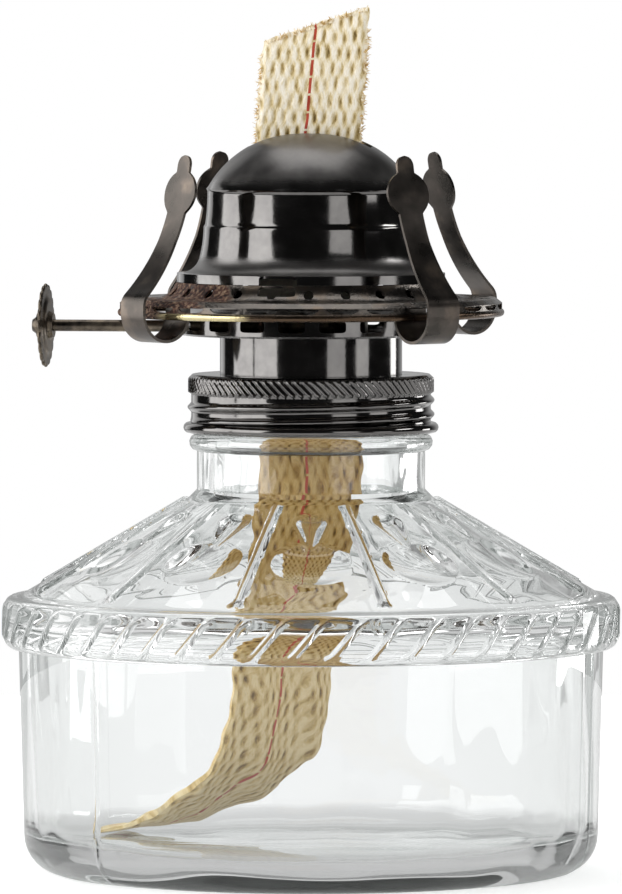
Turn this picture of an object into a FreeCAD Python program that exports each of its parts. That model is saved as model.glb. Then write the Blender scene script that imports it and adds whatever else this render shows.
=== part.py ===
# Kerosene table lamp: pressed glass font, screw collar, flat-wick burner, dome and chimney prongs.
# A parametric FreeCAD document. Millimetres, +Z up, the origin at the centre of the ring that the
# font stands on, +X along the width of the wick and the wheel shaft, whose thumb wheel is at -X.

import FreeCAD, Part
import Sketcher
import math
import os
import re

# ---------------------------------------------------------------------------- driving sizes

SIZES = {
    # glass font
    "wall_radius": 60.0,             # outside of the body under the rim
    "wall_draft": 1.0,               # how much narrower the wall is at the heel
    "wall_height": 38.3,             # from the heel to the rim
    "heel_height": 8.0,
    "heel_width": 7.7,
    "contact_width": 6.0,            # of the ring that stands on the table
    "push_up": 1.2,                  # how far the middle of the base is domed up
    "glass_wall": 3.2,
    "floor_thickness": 5.5,
    "floor_rounding": 6.0,
    "rim_height": 10.5,
    "rim_bulge": 2.95,               # the rim, the widest part but for its rope, outside the wall
    "rim_rounding": 1.8,
    "ledge_width": 1.5,
    "ledge_rise": 0.8,
    "shoulder_rise": 19.3,
    "neck_radius": 23.4,
    "neck_flare": 1.8,               # 45 degree foot of the neck on the shoulder
    "neck_wall": 3.4,
    "neck_length": 11.5,             # from the shoulder to the middle of the neck ring
    "neck_ring_bulge": 1.6,
    "neck_ring_half": 1.8,
    "finish_step": 0.5,              # how far the threaded mouth lies inside the neck
    "finish_thread": 0.8,
    "panel_count": 12,
    "panel_turn": 8.5,               # degrees from +X to the middle of a panel
    "print_inset": 14.0,             # from the shoulder's edge to the middle of each thumbprint
    "print_radius": 7.4,
    "print_depth": 1.4,
    "shoulder_rib_height": 0.95,     # of the ribs between the panels
    "shoulder_rib_half": 1.15,
    "shoulder_rib_inset": 0.8,       # from each end of the shoulder's slope
    "flute_low_half": 0.8,           # half the width of the drop-shaped flute at its thumbprint
    "flute_low_depth": 0.3,
    "flute_high_half": 3.1,          # half its width at its round end
    "flute_high_depth": 0.9,
    "flute_low_inset": 23.0,         # along the slope from the shoulder's edge
    "flute_high_inset": 7.3,         # from the neck's foot to the middle of the round end
    "rope_count": 50,                # slanting ribs round the rim
    "rope_turn": 4.2,                # degrees from +X to the middle of a rib
    "rope_lean": 41.0,               # degrees from upright
    "rope_length": 9.5,
    "rope_height": 0.5,
    "rope_half": 1.0,
    # screw collar and its gasket
    "collar_sheet": 0.55,
    "collar_clearance": 0.35,        # outside the glass thread
    "collar_lift": 0.3,              # above the neck ring
    "collar_curl_bulge": 1.6,
    "collar_curl_half": 0.9,
    "collar_bead_rise": 3.4,         # from the collar's edge to the lower rolled thread
    "collar_bead_pitch": 2.9,
    "collar_bead_bulge": 0.75,
    "collar_bead_half": 1.0,
    "collar_band_rise": 1.9,         # from the upper rolled thread to the knurled band
    "collar_band_height": 3.6,
    "collar_band_bulge": 0.4,
    "collar_edge": 0.6,              # rounding over the knurled band
    "socket_clearance": 0.35,
    "socket_length": 6.3,
    "gasket_thickness": 0.7,
    "gasket_gap": 0.1,
    # burner body
    "burner_sheet": 0.5,
    "screw_radius": 15.9,
    "screw_length": 5.3,
    "seat_gap": 0.05,                # flat faces of two bodies that rest on each other
    "cup_ledge": 2.8,                # how far the cup is wider than its screw
    "cup_height": 8.05,
    "pan_sheet": 0.4,
    "pan_radius": 26.9,
    "pan_wall_height": 4.0,
    "pan_flare": 3.6,                # from the pan's wall to the gallery's ring
    "pan_tuck": 0.5,                 # of the pan's rim under the gallery's ring
    "window_count": 20,
    "window_width": 5.5,
    "window_rise": 1.2,
    "window_margin": 0.4,
    # gallery that the chimney stands on
    "gallery_sheet": 0.5,
    "lip_width": 0.9,                # of the lip under the dome's flange
    "lip_margin": 0.2,               # of the lip outside that flange
    "dip_run": 1.2,                  # from the lip to the lowest stretch of the hollow slope
    "dip_rise": 1.3,
    "slope_run": 3.3,
    "slope_rise": 3.2,
    "ring_width": 6.9,
    "ring_corner": 1.3,
    "ring_corner_drop": 1.0,
    "bead_radius": 0.75,
    "bead_bulge": 0.4,
    "bead_drop": 2.0,
    "fret_count": 30,
    "fret_width": 5.2,
    "fret_margin": 0.125,
    "slope_hole_count": 24,
    "slope_hole_radius": 1.0,
    "ring_slot_count": 20,
    "ring_slot_length": 3.2,
    "ring_slot_width": 2.2,
    "ring_slot_inset": 1.9,
    # wick, its tube and the vent
    "wick_width": 21.6,
    "wick_thickness": 2.6,
    "wick_start": 2.0,               # of the straight part of the wick below its tube
    "wick_reach": 31.7,              # of its right corner above its tube
    "wick_slant": 7.1,
    "tail_gap": 0.3,                 # between the straight part and the loose tail
    "tube_clearance": 0.3,           # between the wick and its tube, each side
    "tube_sheet": 0.4,
    "tube_below": 3.05,              # of the tube below the burner's plate
    "tube_drop": 5.6,                # of the tube's end under the top of the dome
    "vent_radius": 1.6,
    "vent_gap": 4.0,                 # behind the wick tube
    "vent_below": 1.05,
    "vent_length": 22.0,
    # wheel shaft, its bushing and bracket, star wheels and thumb wheel
    "shaft_radius": 1.2,
    "shaft_rise": 1.8,               # above the bottom of the pan
    "shaft_clearance": 0.05,
    "shaft_end": 1.3,                # past the bracket
    "peen_rim": 0.7,
    "peen_length": 1.0,
    "bushing_wall": 0.4,
    "bushing_length": 5.0,
    "bracket_sheet": 0.6,
    "bracket_margin": 3.5,           # from a star wheel's side to the bracket's end
    "bracket_height": 7.6,
    "bracket_lip": 3.05,             # in front of the shaft's middle
    "star_radius": 3.75,
    "star_width": 1.2,
    "star_place": 5.5,               # from the lamp's middle to each star wheel
    "star_teeth": 10,
    "star_notch_radius": 0.75,
    "star_mesh_gap": 0.15,           # tooth tips to the wick
    "thumb_radius": 8.6,
    "thumb_reach": 14.7,             # from the gallery to the thumb wheel
    "thumb_sheet": 0.7,
    "thumb_dish": 0.5,
    "thumb_rim_width": 2.4,
    "thumb_slope": 0.87,             # run of the slope between the rim and the dish
    "thumb_hub_radius": 3.0,
    "thumb_hub_length": 3.4,
    "thumb_teeth": 20,
    "thumb_notch_radius": 0.8,
    # deflector dome
    "dome_sheet": 0.5,
    "dome_gap": 0.1,                 # dome flange above the gallery's lip
    "flange_radius": 27.5,
    "flange_height": 1.8,
    "flare_height": 3.4,
    "flare_run": 4.7,
    "lower_band_height": 6.1,
    "lower_band_draft": 0.8,
    "band_step": 0.3,
    "upper_band_height": 7.8,
    "upper_band_draft": 0.5,
    "crown_rise": 11.2,
    "crown_inset": 5.3,              # of the crown's shoulder from the upper band
    "crown_drop": 4.7,               # of the crown's shoulder under the top
    "slot_clearance": 2.0,           # round the wick
    "slot_depth": 4.4,
    "notch_turn": -95.8,             # degrees from +X to the notch in the flange
    "notch_width": 7.6,
    # chimney prongs
    "prong_sheet": 0.6,
    "prong_inset": 2.6,              # from the inner edge of the gallery's ring
    "prong_hang_gap": 0.3,           # under the gallery's ring
    "prong_leg_drop": 2.5,
    "prong_curl_radius": 5.6,
    "prong_outer_leg": 1.6,
    "prong_corner_radius": 3.2,
    "prong_arm_radius": 40.0,
    "prong_lean": 13.3,              # of the tip inside the outer leg
    "prong_reach": 29.5,             # of the tip above the gallery's ring
    "prong_finger": 7.0,             # straight length at the tip
    "prong_low_width": 7.8,
    "prong_high_width": 5.8,
    "prong_taper": 12.0,             # height over which the strip narrows
    "ear_height": 6.7,
    "ear_width": 10.3,
    "finger_length": 4.4,            # of the narrow end above the ears
    "finger_width": 4.1,
    "rivet_head_radius": 1.5,
    "rivet_radius": 0.9,
    "rivet_clearance": 0.05,
}

# Places that follow from the sizes: heights above the table, radii from the lamp's axis. Each
# piece starts from the one that it stands on.
PLACES = {
    "foot_radius": "wall_radius - wall_draft",
    "contact_radius": "foot_radius - heel_width",
    "rim_low": "heel_height + wall_height",
    "rim_high": "rim_low + rim_height",
    "shoulder_radius": "wall_radius - ledge_width",
    "shoulder_top_radius": "neck_radius + neck_flare",
    "shoulder_low": "rim_high + ledge_rise",
    "shoulder_high": "shoulder_low + shoulder_rise",
    "shoulder_slope": "atan(shoulder_rise / (shoulder_radius - shoulder_top_radius))",
    "shoulder_run": "(shoulder_radius - shoulder_top_radius) / cos(shoulder_slope)",
    "shoulder_rib_round": "(shoulder_rib_half ^ 2 + shoulder_rib_height ^ 2) / (2 * shoulder_rib_height)",
    "shoulder_rib_turn": "panel_turn + 180 / panel_count",
    "flute_low_round": "(flute_low_half ^ 2 + flute_low_depth ^ 2) / (2 * flute_low_depth)",
    "flute_high_round": "(flute_high_half ^ 2 + flute_high_depth ^ 2) / (2 * flute_high_depth)",
    "flute_length": "shoulder_run - flute_low_inset - flute_high_inset",
    "flute_tilt": "atan((flute_low_round - flute_low_depth - flute_high_round + flute_high_depth) / flute_length)",
    "rope_round": "(rope_half ^ 2 + rope_height ^ 2) / (2 * rope_height)",
    "rope_radius": "wall_radius + rim_bulge - rope_round + rope_height",
    "print_place": "shoulder_radius - print_inset",
    "neck_bore": "neck_radius - neck_wall",
    "neck_ring_height": "shoulder_high + neck_length",
    "finish_radius": "neck_radius - finish_step",
    "finish_thread_radius": "finish_radius + finish_thread",
    "collar_waist_radius": "finish_thread_radius + collar_clearance + collar_sheet",
    "collar_band_radius": "collar_waist_radius + collar_band_bulge",
    "collar_bead_radius": "collar_waist_radius + collar_bead_bulge",
    "collar_low": "neck_ring_height + neck_ring_half + collar_lift",
    "collar_bead_low": "collar_low + collar_bead_rise",
    "collar_bead_high": "collar_bead_low + collar_bead_pitch",
    "collar_band_low": "collar_bead_high + collar_band_rise",
    "collar_top": "collar_band_low + collar_band_height",
    "gasket_low": "collar_top - collar_sheet - gasket_gap / 2 - gasket_thickness",
    "glass_top": "gasket_low - gasket_gap",
    "socket_bore": "screw_radius + socket_clearance",
    "cup_radius": "screw_radius + cup_ledge",
    "cup_low": "collar_top + seat_gap",
    "cup_top": "cup_low + cup_height",
    "plate_low": "cup_low - screw_length",
    "pan_wall_top": "cup_top + pan_wall_height",
    "pan_top": "gallery_height - gallery_sheet - seat_gap",
    "window_low": "cup_top + window_rise",
    "window_high": "pan_wall_top - window_margin",
    "gallery_height": "pan_wall_top + pan_flare",
    "lip_radius": "flange_radius + lip_margin",
    "lip_bore": "flange_radius - lip_width",
    "lip_height": "gallery_height + slope_rise",
    "dip_radius": "lip_radius + dip_run",
    "dip_height": "gallery_height + dip_rise",
    "ring_bore": "lip_radius + slope_run",
    "ring_radius": "ring_bore + ring_width",
    "ring_slot_place": "ring_radius - ring_slot_inset",
    "gallery_radius": "ring_radius + ring_corner",
    "gallery_wall_top": "gallery_height - ring_corner_drop",
    "bead_height": "gallery_wall_top - bead_drop",
    "bead_outer_radius": "gallery_radius + bead_bulge",
    "fret_low": "bead_height + bead_radius + fret_margin",
    "fret_high": "gallery_wall_top - fret_margin",
    "tube_half_width": "wick_width / 2 + tube_clearance + tube_sheet",
    "tube_half_depth": "wick_thickness / 2 + tube_clearance + tube_sheet",
    "tube_low": "plate_low - tube_below",
    "tube_high": "crown_top - tube_drop",
    "wick_low": "tube_low - wick_start",
    "wick_right_top": "tube_high + wick_reach",
    "wick_left_top": "wick_right_top - wick_slant",
    "tail_high": "wick_low - tail_gap",
    "vent_place": "tube_half_depth + vent_gap + vent_radius",
    "vent_low": "plate_low - vent_below",
    "shaft_place": "-(wick_thickness / 2 + star_mesh_gap + star_radius)",
    "shaft_height": "cup_top + shaft_rise",
    "shaft_inner_end": "bracket_half + shaft_end",
    "bushing_outer_end": "pan_radius + bushing_length / 2",
    "bushing_radius": "shaft_radius + shaft_clearance + bushing_wall",
    "bracket_half": "star_place + star_width / 2 + bracket_margin",
    "bracket_low": "shaft_height - bracket_height / 2",
    "thumb_place": "bead_outer_radius + thumb_reach",
    "thumb_rim_radius": "thumb_radius - thumb_rim_width",
    "thumb_dish_radius": "thumb_rim_radius - thumb_slope",
    "flange_low": "lip_height + dome_gap",
    "flange_high": "flange_low + flange_height",
    "lower_band_low": "flange_high + flare_height",
    "lower_band_low_radius": "flange_radius - flare_run",
    "lower_band_top_radius": "lower_band_low_radius - lower_band_draft",
    "step_height": "lower_band_low + lower_band_height",
    "upper_band_low_radius": "lower_band_top_radius - band_step",
    "upper_band_top_radius": "upper_band_low_radius - upper_band_draft",
    "crown_low": "step_height + upper_band_height",
    "crown_top": "crown_low + crown_rise",
    "crown_mid_radius": "upper_band_top_radius - crown_inset",
    "crown_mid_height": "crown_top - crown_drop",
    "slot_length": "wick_width + 2 * slot_clearance",
    "slot_width": "wick_thickness + 2 * slot_clearance",
    "slot_floor": "crown_top - slot_depth",
    "prong_leg_radius": "ring_bore + prong_inset",
    "prong_outer_radius": "prong_leg_radius + 2 * prong_curl_radius",
    "prong_start": "gallery_height - gallery_sheet - prong_hang_gap",
    "prong_curl_height": "gallery_height - prong_leg_drop",
    "prong_bend_height": "prong_curl_height + prong_outer_leg",
    "prong_tip_radius": "prong_outer_radius - prong_lean",
    "prong_tip_height": "gallery_height + prong_reach",
    "prong_narrow_height": "gallery_height + prong_taper",
    "ear_high": "prong_tip_height - finger_length",
    "ear_low": "ear_high - ear_height",
}

# The wick's loose tail: each stop is its middle (x, y) as a share of the glass floor's radius, its
# height as a share of the way from that floor up to the straight part, and the turn of its width in
# degrees from +X. It twists as it leaves the tube and lays itself down on the glass floor.
TAIL_STOPS = (
    (0.0, 0.0, 1.0, 0.0),
    (0.0, 0.0, 0.864, 2.0),
    (-0.022, 0.002, 0.748, 8.0),
    (-0.054, 0.008, 0.632, 18.0),
    (-0.090, 0.018, 0.516, 30.0),
    (-0.118, 0.032, 0.400, 42.0),
    (-0.151, 0.058, 0.284, 52.0),
    (-0.239, 0.106, 0.191, 60.0),
    (-0.394, 0.185, 0.122, 64.0),
    (-0.586, 0.257, 0.066, 67.0),
    (-0.763, 0.309, 0.034, 70.0),
    (-0.894, 0.337, 0.020, 74.0),
)

doc = FreeCAD.newDocument("oil_lamp")
sheet = doc.addObject("Spreadsheet::Sheet", "sizes")
for row, (alias, value) in enumerate(SIZES.items(), start=1):
    sheet.set("A%d" % row, alias)
    sheet.set("B%d" % row, str(value))
    sheet.setAlias("B%d" % row, alias)
doc.recompute()

PARTS = []
TURN_TO_X = FreeCAD.Rotation(FreeCAD.Vector(0, 1, 0), 90)


# ---------------------------------------------------------------------------- helpers

def formula(text):
    """An expression in which each place is worked out and each size points to its cell."""
    def spell(word):
        if word[0] in PLACES:
            return "(%s)" % formula(PLACES[word[0]])
        return "sizes." + word[0] if word[0] in SIZES else word[0]

    return re.sub(r"[a-z]\w*", spell, text)


def value(text):
    """The present number of an expression."""
    return float(sheet.evalExpression(formula(text)))


def bind(item, **settings):
    """Tie properties to expressions; a double underscore in a name stands for a dot."""
    for name, text in settings.items():
        item.setExpression(name.replace("__", "."), formula(text))


def keep(item, label):
    """Label a finished sub-part and put it on the list that is written out."""
    item.Label = label
    PARTS.append(item)
    return item


def new_body(label):
    """A PartDesign body on the list of sub-parts."""
    return keep(doc.addObject("PartDesign::Body", label), label)


def origin_feature(body, role):
    """One of the body's own origin planes or axes, such as XY_Plane or Z_Axis."""
    return next(item for item in body.Origin.OriginFeatures if item.Role == role)


def new_sketch(body, name, plane):
    """An empty sketch on one of the body's own origin planes."""
    sketch = body.newObject("Sketcher::SketchObject", name)
    sketch.AttachmentSupport = (origin_feature(body, plane), [""])
    sketch.MapMode = "FlatFace"
    return sketch


def bound_constraint(sketch, kind, *arguments, text, drawn=1.0):
    """A dimension that follows an expression; drawn is its value as first sketched."""
    index = sketch.addConstraint(Sketcher.Constraint(kind, *arguments, drawn))
    sketch.setExpression("Constraints[%d]" % index, formula(text))
    return index


def fixed_point(sketch, across, up):
    """A construction point whose two coordinates follow expressions."""
    vertical_axis, horizontal_axis = -2, -1      # a sketch's own axes, as its constraints name them
    index = sketch.addGeometry(Part.Point(FreeCAD.Vector(1, 1, 0)), True)
    for text, kind, axis in ((across, "DistanceX", vertical_axis), (up, "DistanceY", horizontal_axis)):
        if text == "0":
            sketch.addConstraint(Sketcher.Constraint("PointOnObject", index, 1, axis))
        else:
            bound_constraint(sketch, kind, index, 1, text=text)
    return index


def outline(body, name, plane, *loops):
    """A sketch of closed loops. A loop is a list of corners (across, up) as expressions, and an
    arc's middle point (across, up, "arc") between its two ends."""
    sketch = new_sketch(body, name, plane)
    drawn = [[(fixed_point(sketch, *point[:2]), len(point) == 3) for point in loop] for loop in loops]
    doc.recompute()
    place = {index: sketch.getPoint(index, 1) for loop in drawn for index, _ in loop}
    for loop in drawn:
        corners = [number for number, (_, on_arc) in enumerate(loop) if not on_arc]
        for start, end in zip(corners, corners[1:] + [corners[0] + len(loop)]):
            first, last = loop[start][0], loop[end % len(loop)][0]
            if end - start == 1:
                edge = sketch.addGeometry(Part.LineSegment(place[first], place[last]), False)
                ends = (1, 2)
            else:
                middle = loop[start + 1][0]
                arc = Part.Arc(place[first], place[middle], place[last])
                edge = sketch.addGeometry(arc, False)
                swapped = sketch.getPoint(edge, 1).distanceToPoint(place[first]) > 1e-6
                ends = (2, 1) if swapped else (1, 2)
                sketch.addConstraint(Sketcher.Constraint("PointOnObject", middle, 1, edge))
            sketch.addConstraint(Sketcher.Constraint("Coincident", edge, ends[0], first, 1))
            sketch.addConstraint(Sketcher.Constraint("Coincident", edge, ends[1], last, 1))
    return sketch


def revolve(body, loop, plane="XZ_Plane", axis="V_Axis"):
    """Turn a closed loop about the body's axis."""
    profile = outline(body, body.Label + "_profile", plane, loop)
    solid = body.newObject("PartDesign::Revolution", body.Label + "_revolution")
    solid.Profile = profile
    solid.ReferenceAxis = (profile, [axis])
    solid.Angle = 360
    doc.recompute()
    return solid


def pad(body, sketch, length, side="One side"):
    """Pad a sketch by a length given as an expression."""
    solid = body.newObject("PartDesign::Pad", body.Label + "_pad")
    solid.Profile = sketch
    solid.SideType = side
    bind(solid, Length=length)
    doc.recompute()
    return solid


def solid_tool(body, kind, name, **settings):
    """An additive or subtractive box, cylinder, cone or sphere. It has to change the body."""
    before = body.Shape.Volume
    tool = body.newObject("PartDesign::" + kind, body.Label + "_" + name)
    turn = settings.pop("turn", None)
    if turn:
        tool.Placement.Rotation = turn
    bind(tool, **settings)
    doc.recompute()
    growth = body.Shape.Volume - before
    if (growth if "Additive" in kind else -growth) < 1e-6:
        raise RuntimeError("%s doesn't change %s" % (name, body.Label))
    return tool


def cutter(body, kind, name, **settings):
    """A subtractive box, cylinder, cone or sphere."""
    return solid_tool(body, "Subtractive" + kind, name, **settings)


def cutting_box(body, name, length, width, height, low, turn=None):
    """A subtractive box by its three sizes and its low corner."""
    return cutter(body, "Box", name, Length=length, Width=width, Height=height, turn=turn,
                  Placement__Base__x=low[0], Placement__Base__y=low[1], Placement__Base__z=low[2])


def polar(body, feature, count, axis="Z_Axis"):
    """Repeat a feature evenly about one of the body's axes."""
    before = body.Shape.Volume
    pattern = body.newObject("PartDesign::PolarPattern", feature.Name + "_pattern")
    pattern.Originals = [feature]
    pattern.Axis = (origin_feature(body, axis), [""])
    pattern.Angle = 360
    bind(pattern, Occurrences=count)
    body.Tip = pattern
    doc.recompute()
    growth = body.Shape.Volume - before
    if (growth if "Additive" in feature.TypeId else -growth) < 1e-6:
        raise RuntimeError("the pattern of %s changes nothing" % feature.Name)
    return pattern


def cylinder(name, radius, height, base=("0", "0", "0"), along_x=False):
    """A Part cylinder along +Z, or along +X, from its base point."""
    item = doc.addObject("Part::Cylinder", name)
    if along_x:
        item.Placement.Rotation = FreeCAD.Rotation(FreeCAD.Vector(0, 1, 0), 90)
    bind(item, Radius=radius, Height=height, Placement__Base__x=base[0],
         Placement__Base__y=base[1], Placement__Base__z=base[2])
    return item


def pipe(label, outer, inner, length, base, along_x=False):
    """A tube as one cylinder cut from another."""
    tube = doc.addObject("Part::Cut", label)
    tube.Base = cylinder(label + "_outside", outer, length, base, along_x)
    tube.Tool = cylinder(label + "_bore", inner, length, base, along_x)
    return keep(tube, label)


# ---------------------------------------------------------------------------- glass font

def on_slope(body, kind, name, turn, inset, lift, tilt, **settings):
    """A round tool that lies up the shoulder's slope at a turn about the axis: its low end is inset
    along the slope from the shoulder's edge, its middle line lifted off the slope and tilted."""
    place = math.radians(value(turn))
    rotation = FreeCAD.Rotation(FreeCAD.Vector(math.sin(place), -math.cos(place), 0),
                                value("90 deg - shoulder_slope + " + tilt))
    radius = "(shoulder_radius - %s * cos(shoulder_slope) + %s * sin(shoulder_slope))" % (inset, lift)
    height = "shoulder_low + %s * sin(shoulder_slope) + %s * cos(shoulder_slope)" % (inset, lift)
    return solid_tool(body, kind, name, turn=rotation,
                      Placement__Rotation__Angle="90 deg - shoulder_slope + " + tilt,
                      Placement__Base__x="%s * cos(%s)" % (radius, turn),
                      Placement__Base__y="%s * sin(%s)" % (radius, turn),
                      Placement__Base__z=height, **settings)


def glass_font():
    """Pressed glass reservoir: heel, straight wall, rim, conical shoulder, neck and mouth."""
    body = new_body("glass_font")
    inner_low = "(shoulder_low - glass_wall * cos(shoulder_slope))"
    inner_radius = "(shoulder_radius - glass_wall * sin(shoulder_slope))"
    bore_foot = "(%s + (%s - neck_bore) * tan(shoulder_slope))" % (inner_low, inner_radius)
    cavity_radius = "(wall_radius - glass_wall)"
    cavity_top = "(%s + (%s - %s) * tan(shoulder_slope))" % (inner_low, inner_radius, cavity_radius)
    floor_radius = "(foot_radius - glass_wall - floor_rounding)"
    rim_edge = "(wall_radius + rim_bulge - rim_rounding)"
    revolve(body, [
        ("0", "push_up"),
        ("contact_radius - contact_width - push_up", "push_up"),
        ("contact_radius - contact_width", "0"),
        ("contact_radius", "0"),
        ("foot_radius - heel_width * (1 - sin(45))", "heel_height * (1 - cos(45))", "arc"),
        ("foot_radius", "heel_height"),
        ("wall_radius", "rim_low"),
        (rim_edge, "rim_low"),
        (rim_edge + " + rim_rounding * sin(45)", "rim_low + rim_rounding * (1 - cos(45))", "arc"),
        ("wall_radius + rim_bulge", "rim_low + rim_rounding"),
        ("wall_radius + rim_bulge", "rim_high - rim_rounding"),
        (rim_edge + " + rim_rounding * sin(45)", "rim_high - rim_rounding * (1 - cos(45))", "arc"),
        (rim_edge, "rim_high"),
        ("wall_radius", "rim_high"),
        ("shoulder_radius", "shoulder_low"),
        ("shoulder_top_radius", "shoulder_high"),
        ("neck_radius", "shoulder_high + neck_flare"),
        ("neck_radius", "neck_ring_height - neck_ring_half"),
        ("neck_radius + neck_ring_bulge", "neck_ring_height", "arc"),
        ("finish_radius", "neck_ring_height + neck_ring_half"),
        ("finish_radius", "collar_bead_low - collar_bead_half"),
        ("finish_thread_radius", "collar_bead_low", "arc"),
        ("finish_radius", "collar_bead_low + collar_bead_half"),
        ("finish_radius", "collar_bead_high - collar_bead_half"),
        ("finish_thread_radius", "collar_bead_high", "arc"),
        ("finish_radius", "collar_bead_high + collar_bead_half"),
        ("finish_radius", "glass_top"),
        ("neck_bore", "glass_top"),
        ("neck_bore", bore_foot),
        (cavity_radius, cavity_top),
        ("foot_radius - glass_wall", "floor_thickness + floor_rounding"),
        (floor_radius + " + floor_rounding * sin(45)",
         "floor_thickness + floor_rounding * (1 - cos(45))", "arc"),
        (floor_radius, "floor_thickness"),
        ("0", "floor_thickness"),
    ])
    print_sphere = "((print_radius ^ 2 + print_depth ^ 2) / (2 * print_depth))"
    lift = "(%s - print_depth)" % print_sphere
    surface = "(shoulder_low + print_inset * tan(shoulder_slope))"
    centre = "(print_place + %s * sin(shoulder_slope))" % lift
    thumbprint = cutter(body, "Sphere", "thumbprint", Radius=print_sphere,
                        Placement__Base__x=centre + " * cos(panel_turn)",
                        Placement__Base__y=centre + " * sin(panel_turn)",
                        Placement__Base__z="%s + %s * cos(shoulder_slope)" % (surface, lift))
    polar(body, thumbprint, "panel_count")
    flute = on_slope(body, "SubtractiveCone", "flute", "panel_turn", "flute_low_inset",
                     "(flute_low_round - flute_low_depth)", "flute_tilt",
                     Radius1="flute_low_round", Radius2="flute_high_round",
                     Height="flute_length / cos(flute_tilt)")
    polar(body, flute, "panel_count")
    flute_end = on_slope(body, "SubtractiveSphere", "flute_end", "panel_turn",
                         "(flute_low_inset + flute_length)",
                         "(flute_high_round - flute_high_depth)", "0 deg",
                         Radius="flute_high_round")
    polar(body, flute_end, "panel_count")
    rib = on_slope(body, "AdditiveCylinder", "rib", "shoulder_rib_turn", "shoulder_rib_inset",
                   "(shoulder_rib_height - shoulder_rib_round)", "0 deg",
                   Radius="shoulder_rib_round", Height="shoulder_run - 2 * shoulder_rib_inset")
    polar(body, rib, "panel_count")
    place = math.radians(value("rope_turn"))
    half = "rope_length / 2"
    rope = solid_tool(body, "AdditiveCylinder", "rope_rib",
                      turn=FreeCAD.Rotation(FreeCAD.Vector(-math.cos(place), -math.sin(place), 0),
                                            value("rope_lean")),
                      Radius="rope_round", Height="rope_length",
                      Placement__Base__x="rope_radius * cos(rope_turn) + %s * sin(rope_lean)"
                                         " * sin(rope_turn)" % half,
                      Placement__Base__y="rope_radius * sin(rope_turn) - %s * sin(rope_lean)"
                                         " * cos(rope_turn)" % half,
                      Placement__Base__z="(rim_low + rim_high) / 2 - %s * cos(rope_lean)" % half)
    polar(body, rope, "rope_count")


# ---------------------------------------------------------------------------- collar

def screw_collar():
    """Stamped screw collar: curled edge, two rolled thread beads, knurled band and inner socket."""
    body = new_body("screw_collar")
    bore = "(collar_waist_radius - collar_sheet)"
    under = "(collar_top - collar_sheet)"
    revolve(body, [
        ("socket_bore", "collar_top - socket_length"),
        ("socket_bore", "collar_top"),
        ("collar_band_radius - collar_edge", "collar_top"),
        ("collar_band_radius", "collar_top - collar_edge"),
        ("collar_band_radius", "collar_band_low"),
        ("collar_waist_radius", "collar_band_low - collar_band_bulge"),
        ("collar_waist_radius", "collar_bead_high + collar_bead_half"),
        ("collar_bead_radius", "collar_bead_high", "arc"),
        ("collar_waist_radius", "collar_bead_high - collar_bead_half"),
        ("collar_waist_radius", "collar_bead_low + collar_bead_half"),
        ("collar_bead_radius", "collar_bead_low", "arc"),
        ("collar_waist_radius", "collar_bead_low - collar_bead_half"),
        ("collar_waist_radius", "collar_low + 2 * collar_curl_half"),
        ("collar_waist_radius + collar_curl_bulge", "collar_low + collar_curl_half", "arc"),
        ("collar_waist_radius", "collar_low"),
        (bore, "collar_low"),
        (bore, under),
        ("socket_bore + collar_sheet", under),
        ("socket_bore + collar_sheet", "collar_top - socket_length"),
    ])


def collar_gasket():
    """Flat ring between the glass mouth and the collar."""
    pipe("collar_gasket", "finish_radius - gasket_gap", "neck_bore + gasket_gap", "gasket_thickness",
         ("0", "0", "gasket_low"))


# ---------------------------------------------------------------------------- burner

def burner_base():
    """Burner cup with its male screw and the plate that holds the wick tube and the vent."""
    body = new_body("burner_base")
    revolve(body, [
        ("0", "plate_low"),
        ("screw_radius", "plate_low"),
        ("screw_radius", "cup_low"),
        ("cup_radius", "cup_low"),
        ("cup_radius", "cup_top"),
        ("cup_radius - burner_sheet", "cup_top"),
        ("cup_radius - burner_sheet", "cup_low + burner_sheet"),
        ("screw_radius - burner_sheet", "cup_low + burner_sheet"),
        ("screw_radius - burner_sheet", "plate_low + burner_sheet"),
        ("0", "plate_low + burner_sheet"),
    ])
    cutting_box(body, "tube_hole", "2 * (tube_half_width + seat_gap)",
                "2 * (tube_half_depth + seat_gap)", "3 * burner_sheet",
                ("-(tube_half_width + seat_gap)", "-(tube_half_depth + seat_gap)",
                 "plate_low - burner_sheet"))
    cutter(body, "Cylinder", "vent_hole", Radius="vent_radius + seat_gap", Height="3 * burner_sheet",
           Placement__Base__y="vent_place", Placement__Base__z="plate_low - burner_sheet")


def star_window(body, side):
    """The window that one star wheel reaches through to the wick."""
    half_height = "sqrt(star_radius ^ 2 - (star_radius + star_mesh_gap - tube_clearance"
    half_height += " - tube_sheet - bracket_sheet - seat_gap) ^ 2)"
    cutting_box(body, "star_window", "star_width + 2 * tube_clearance",
                "tube_sheet + tube_clearance + bracket_sheet + 2 * seat_gap",
                "2 * (%s + tube_clearance)" % half_height,
                ("%d * star_place - star_width / 2 - tube_clearance" % side,
                 "-(tube_half_depth + bracket_sheet + 2 * seat_gap)",
                 "shaft_height - (%s + tube_clearance)" % half_height))


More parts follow.
